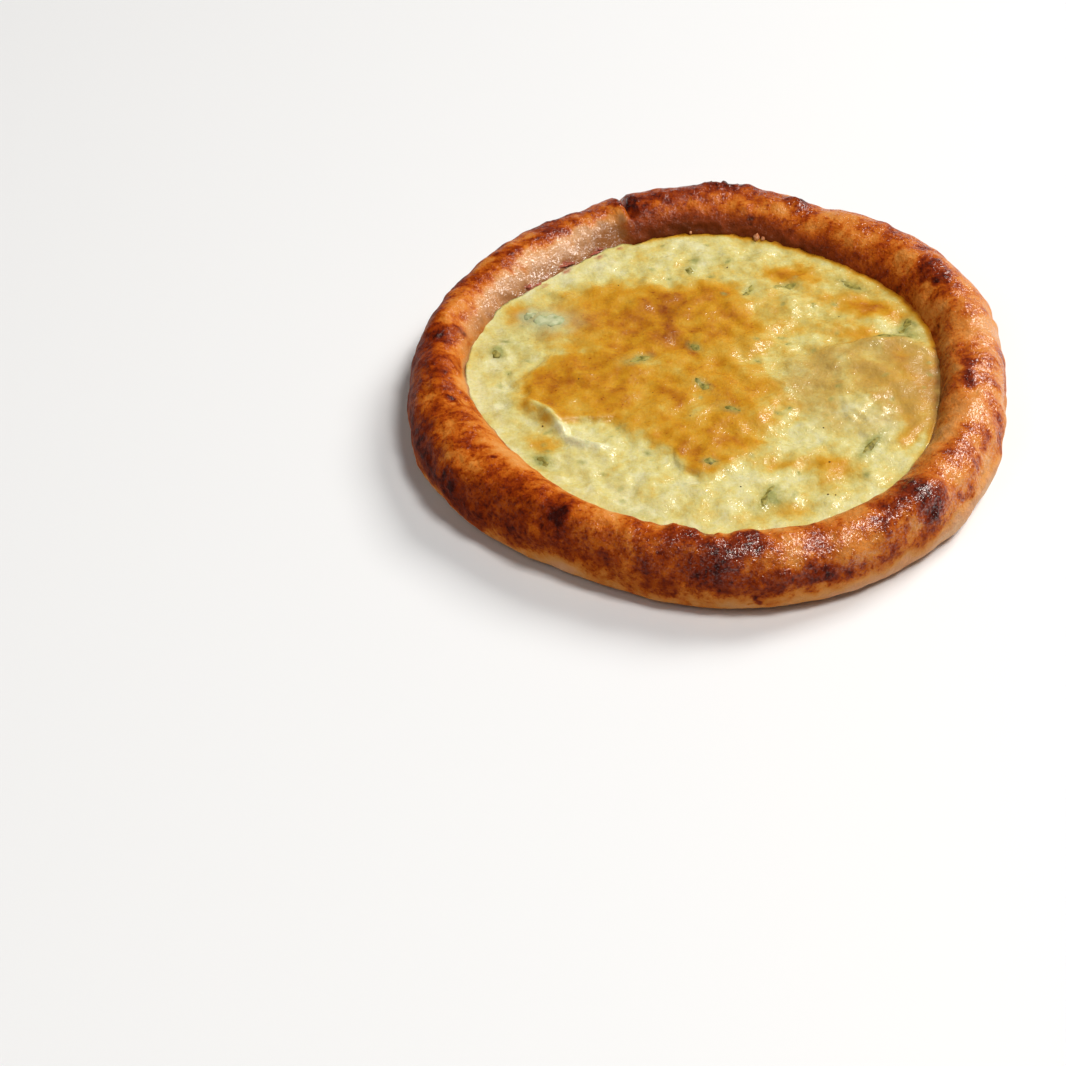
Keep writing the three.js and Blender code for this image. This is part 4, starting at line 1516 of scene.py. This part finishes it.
@dataclass
class Toppings:
    """Herb leaves, finer chopped herbs, pepper scraps, ground pepper and crumbs on the filling."""

    form: FillingForm
    leaf_finish: SpeckledFinish
    fleck_finish: SpeckledFinish
    mint_finish: SpeckledFinish
    scrap_finish: SpeckledFinish
    pepper_finish: SpeckledFinish
    crumb_finish: SpeckledFinish
    leaf_thickness: float = 0.3
    leaf_rise: float = 0.15
    fleck_count: int = 64
    fleck_seed: int = 5
    scrap_seed: int = 17
    pepper_seed: int = 23
    scrap_places: tuple[float, ...] = (140, 138, 127.6, 125.8, 117, 115)
    pepper_places: tuple[tuple[float, float], ...] = (
        (35.5, -56), (33, -72), (35.5, -72.5), (36, -37), (-48, -5), (-22, -14), (-10, -29), (12, 60),
        (-30, 52), (50, 26), (-62, -28), (4, -66),
    )
    large_leaves: tuple[Leaf, ...] = records(
        Leaf,
        (-25, 5, 9, 3.0, 25), (-2, 59, 7, 2.6, 80), (18, 44, 8, 2.6, 60), (-5, 11, 7, 2.6, -50),
        (5, -26, 7, 2.6, -30), (-4, -11, 7, 3, -50), (57, 45, 14, 2.6, -42), (67, 11, 15, 2.2, -5, 0.2),
        (73, 19, 10, 3.4, 60), (51, -48, 15, 2.2, 50), (13, -71, 11, 2.4, 62), (33, 47, 9, 2.6, 10),
        (-5, -53, 6, 3.2, 0), (-63, -46, 6, 3.2, -60), (-77, 15, 6, 3, -60),
    )
    mint_leaves: tuple[Leaf, ...] = (Leaf(-57, 31.5, 12, 7, -8, 0.1), Leaf(-64, 36, 5, 3.4, 30, 0.2))
    flecks: list[Leaf] = field(default_factory=list)

    def __post_init__(self) -> None:
        """Draw the places of the chopped herbs: few lie on the browned skin."""
        rng = random.Random(self.fleck_seed)
        while len(self.flecks) < self.fleck_count:
            angle, reach = rng.uniform(0, 2 * math.pi), 80 * math.sqrt(rng.random())
            x, y = reach * math.cos(angle), reach * math.sin(angle)
            on_skin = float(self.form.skin_share(np.array([x]), np.array([y]))[0])
            if rng.random() < 0.85 * on_skin:
                continue
            length = rng.uniform(1.4, 3.6)
            width = length * rng.uniform(0.25, 0.5)
            self.flecks.append(Leaf(x, y, length, width, rng.uniform(0, 180), rng.uniform(-0.4, -0.1)))

    def build(self) -> list[tuple[bpy.types.Object, Slot]]:
        """Build each kind of topping as one piece.

        Returns:
            Each piece with the slot it takes its finish from.
        """
        return [
            (self._leaf_piece("herb_leaves", self.large_leaves, (12, 6), self.leaf_finish), Slot.HERBS),
            (self._leaf_piece("herb_flecks", self.flecks, (5, 3), self.fleck_finish), Slot.HERBS),
            (self._leaf_piece("mint_leaf", self.mint_leaves, (16, 10), self.mint_finish), Slot.HERBS),
            (self._scraps(), Slot.FILLING),
            (self._ground_pepper(), Slot.FILLING),
            (self._crumbs(), Slot.CRUST),
        ]

    def _height(self, x: Array, y: Array) -> Array:
        """Return the filling's top under the toppings."""
        return self.form.top(np.atleast_1d(x), np.atleast_1d(y))

    def _leaf_piece(
        self, name: str, leaves: Sequence[Leaf], cells: tuple[int, int], finish: SpeckledFinish
    ) -> bpy.types.Object:
        """Join thin curled leaves, each laid on the filling, into one piece.

        Args:
            name: The piece's name.
            leaves: Where each leaf lies, and its size.
            cells: Faces along and across one leaf.
            finish: The leaves' finish.

        Returns:
            The finished piece.
        """
        heap = bmesh.new()
        for number, leaf in enumerate(leaves):
            grid = bmesh.ops.create_grid(heap, x_segments=cells[0], y_segments=cells[1], size=0.5)
            verts = grid["verts"]
            flat = np.array([vert.co for vert in verts])
            along, across = 2.0 * flat[:, 0], 2.0 * flat[:, 1]
            ragged = 1.0 + 0.16 * np.sin(9.0 * along + 1.7 * number)
            half = 0.5 * leaf.width * np.sqrt(np.clip(1.04 - np.abs(along) ** 2.4, 0.0, None)) * ragged
            bend = 0.10 * leaf.length * math.sin(2.1 * number) * (1.0 - along**2)
            heading = math.radians(leaf.heading)
            local_x = 0.5 * leaf.length * along
            local_y = half * across + bend
            x = leaf.x + local_x * math.cos(heading) - local_y * math.sin(heading)
            y = leaf.y + local_x * math.sin(heading) + local_y * math.cos(heading)
            curl = 0.12 * np.sin(4.1 * along + 2.3 * number) - 0.25 * across**2 - 0.2 * along**4
            z = self._height(x, y) + leaf.proud + self.leaf_rise + curl
            for vert, place in zip(verts, np.stack([x, y, z], axis=-1)):
                vert.co = place
            faces = list({face for vert in verts for face in vert.link_faces})
            bmesh.ops.recalc_face_normals(heap, faces=faces)
            bmesh.ops.solidify(heap, geom=faces, thickness=self.leaf_thickness)
        return self._piece(name, heap, finish)

    def _lumps(
        self, name: str, places: Sequence[tuple[float, ...]], finish: SpeckledFinish
    ) -> bpy.types.Object:
        """Join small uneven lumps into one piece.

        Args:
            name: The piece's name.
            places: For each lump its x, y, z, length, width, height and heading.
            finish: The lumps' finish.

        Returns:
            The finished piece.
        """
        heap = bmesh.new()
        for number, (x, y, z, length, width, height, heading) in enumerate(places):
            detail = 2 if length > 1.2 else 1
            verts = bmesh.ops.create_icosphere(heap, subdivisions=detail, radius=0.5)["verts"]
            for vert in verts:
                vert.co *= 1.0 + 0.45 * noise.noise(vert.co * 3.1 + Vector((number, 0.0, 0.0)))
            turn = Matrix.Rotation(math.radians(heading), 4, "Z")
            laid = Matrix.Translation((x, y, z)) @ turn @ Matrix.Diagonal((length, width, height, 1.0))
            bmesh.ops.transform(heap, matrix=laid, verts=verts)
        return self._piece(name, heap, finish)

    def _beside_rim(self, angle: float, height: float, inset: float) -> tuple[float, float, float]:
        """Return the place at an angle and a height, so far in from the well's wall."""
        radius = float(self.form.rim.wall_radius(np.array([height]), np.array([angle]))[0]) - inset
        return radius * math.cos(math.radians(angle)), radius * math.sin(math.radians(angle)), height

    def _scraps(self) -> bpy.types.Object:
        """Build the red pepper scraps along the filling's edge at the far left."""
        rng = random.Random(self.scrap_seed)
        places = []
        for place in self.scrap_places:
            angle = place + rng.uniform(-0.6, 0.6)
            height = self.form.rim.filling_level + rng.uniform(0.5, 1.6)
            middle = self._beside_rim(angle, height, rng.uniform(0.0, 0.6))
            length = rng.uniform(2.2, 5.0)
            heading = angle + 90 + rng.uniform(-25, 25)
            places.append((*middle, length, rng.uniform(1.0, 1.7), rng.uniform(0.5, 0.8), heading))
        return self._lumps("red_pepper_scraps", places, self.scrap_finish)

    def _crumbs(self) -> bpy.types.Object:
        """Build the crumbs of dough stuck at the filling's far edge."""
        height = self.form.rim.filling_level + 1.2
        places = [
            (*self._beside_rim(angle, height, 0.6), length, 0.7 * length, 0.8 * length, angle)
            for angle, length in ((72.0, 3.4), (70.2, 2.0), (90.0, 1.8))
        ]
        return self._lumps("dough_crumbs", places, self.crumb_finish)

    def _ground_pepper(self) -> bpy.types.Object:
        """Build the few grains of ground black pepper on the filling."""
        rng = random.Random(self.pepper_seed)
        places = []
        for x, y in self.pepper_places:
            z = float(self._height(x, y)[0])
            size = rng.uniform(0.5, 0.9)
            places.append((x, y, z, size, size * 0.8, size * 0.6, rng.uniform(0, 180)))
        return self._lumps("ground_pepper", places, self.pepper_finish)

    def _piece(self, name: str, heap: bmesh.types.BMesh, finish: SpeckledFinish) -> bpy.types.Object:
        """Turn a heap of small solids, built in millimetres, into a piece on the frame."""
        mesh = bpy.data.meshes.new(name)
        heap.to_mesh(mesh)
        heap.free()
        set_places(mesh, (mesh_places(mesh) - self.form.rim.outline_middle()) * MM)
        return shown_object(name, mesh, finish.material())


# ---------------------------------------------------------------- the studio


@dataclass(frozen=True)
class StudioLight:
    """A square soft light that looks at the bread."""

    name: str
    azimuth: float
    elevation: float
    distance: float
    size: float
    watts: float
    colour: str = "#ffffff"
    gloss: float = 1.0  # how strongly it shows in reflections

    def place(self) -> None:
        """Add the light to the scene."""
        lamp = bpy.data.lights.new(self.name, "AREA")
        lamp.energy = self.watts
        lamp.size = self.size
        lamp.color = linear(self.colour)[:3]
        lamp.specular_factor = self.gloss
        holder = bpy.data.objects.new(self.name, lamp)
        azimuth, elevation = math.radians(self.azimuth), math.radians(self.elevation)
        east, north = math.cos(azimuth), math.sin(azimuth)
        level = math.cos(elevation)
        direction = Vector((level * east, level * north, math.sin(elevation)))
        holder.location = direction * self.distance
        holder.rotation_euler = direction.to_track_quat("Z", "Y").to_euler()
        bpy.context.scene.collection.objects.link(holder)


@dataclass(frozen=True)
class Studio:
    """A pale floor, soft light from the far right with a weak fill, and the camera."""

    camera_place: tuple[float, float, float] = (-0.0659, -0.6548, 0.547)
    camera_pitch: float = 42.8
    camera_roll: float = 3.25
    lens: float = 78.52
    floor_half: float = 4.0
    floor_colour: str = "#e6e9ee"
    world_colour: str = "#f4f6f8"
    world_strength: float = 0.09
    lights: tuple[StudioLight, ...] = (
        StudioLight("key_softbox", 34, 43, 3.0, 1.2, 75.0, "#fffaf2"),
        StudioLight("top_softbox", -34, 66, 2.6, 0.66, 41.0, "#fffaf2"),
        StudioLight("fill_softbox", 225, 50, 1.6, 0.7, 3.0, "#fff8f0", 0.3),
    )

    def build(self) -> bpy.types.Object:
        """Make the camera, the lights, the world and the floor.

        Returns:
            The floor.
        """
        self._camera()
        for light in self.lights:
            light.place()
        world = bpy.data.worlds.new("studio_air")
        world.use_nodes = True
        sky = world.node_tree.nodes["Background"]
        sky.inputs["Color"].default_value = linear(self.world_colour)
        sky.inputs["Strength"].default_value = self.world_strength
        bpy.context.scene.world = world
        view = bpy.context.scene.view_settings
        view.view_transform = "Standard"
        view.look = "None"
        return self._floor()

    def _camera(self) -> None:
        """Make the camera at the photograph's place and angle."""
        data = bpy.data.cameras.new("camera")
        data.lens = self.lens
        data.sensor_width = 36.0
        data.clip_end = 50.0
        camera = bpy.data.objects.new("camera", data)
        pitch, roll = math.radians(self.camera_pitch), math.radians(self.camera_roll)
        forward = Vector((0.0, math.cos(pitch), -math.sin(pitch)))
        level = Vector((1.0, 0.0, 0.0))
        upright = Vector((0.0, math.sin(pitch), math.cos(pitch)))
        right = math.cos(roll) * level - math.sin(roll) * upright
        up = math.sin(roll) * level + math.cos(roll) * upright
        turned = Matrix((right, up, -forward)).transposed().to_4x4()
        camera.matrix_world = Matrix.Translation(self.camera_place) @ turned
        bpy.context.scene.collection.objects.link(camera)
        bpy.context.scene.camera = camera

    def _floor(self) -> bpy.types.Object:
        """Make the plain pale floor."""
        ground = bmesh.new()
        bmesh.ops.create_grid(ground, x_segments=1, y_segments=1, size=self.floor_half)
        mesh = bpy.data.meshes.new("studio_floor")
        ground.to_mesh(mesh)
        ground.free()
        material, node = new_material("pale_matte_floor")
        shader = node("BsdfPrincipled", {"Base Color": self.floor_colour, "Roughness": 0.6})
        node("OutputMaterial", {"Surface": shader})
        return shown_object("studio_floor", mesh, material)


# ---------------------------------------------------------------- the whole pide


def join_frame(piece: bpy.types.Object, slot: Slot, replaced: Sequence[Node] = ()) -> None:
    """Tie a piece to the frame and report it.

    Args:
        piece: The finished piece.
        slot: The record's material slot that it takes its finish from.
        replaced: The CAD nodes that it stands for.
    """
    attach(piece, "root")
    if replaced:
        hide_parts(*[node.value for node in replaced])
    LOG.info("%s: %d faces, slot %s", piece.name, len(piece.data.polygons), slot.value)


def main() -> None:
    """Build the bread piece by piece over the frame, then the studio."""
    logging.basicConfig(level=logging.INFO, format="%(name)s %(message)s")
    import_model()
    rim = RimForm()
    filling_form = FillingForm(rim)
    crust = Crust(rim, GlazedWheatCrust()).build()
    join_frame(crust, Slot.CRUST, [Node.CRUST])
    toppings = Toppings(
        filling_form,
        leaf_finish=SpeckledFinish("baked_herb_leaf", "#a4984c", "#686228", 1.6, 0.5),
        fleck_finish=SpeckledFinish("chopped_herb", "#a6a058", "#747434", 1.0, 0.5),
        mint_finish=SpeckledFinish("baked_mint_leaf", "#c4c8a2", "#98a274", 2.4, 0.5),
        scrap_finish=SpeckledFinish("baked_red_pepper", "#b46652", "#8a4434", 0.9, 0.35),
        pepper_finish=SpeckledFinish("ground_black_pepper", "#4a3424", "#231811", 0.4, 0.6),
        crumb_finish=SpeckledFinish("baked_dough_crumb", "#d9a27c", "#b0683c", 1.2, 0.4),
    )
    filling = Filling(filling_form, BakedCurdCheese(), [*toppings.large_leaves, *toppings.flecks]).build()
    join_frame(filling, Slot.FILLING, [Node.FILLING])
    for piece, slot in toppings.build():
        join_frame(piece, slot)
    floor = Studio().build()


if __name__ == "__main__":
    main()
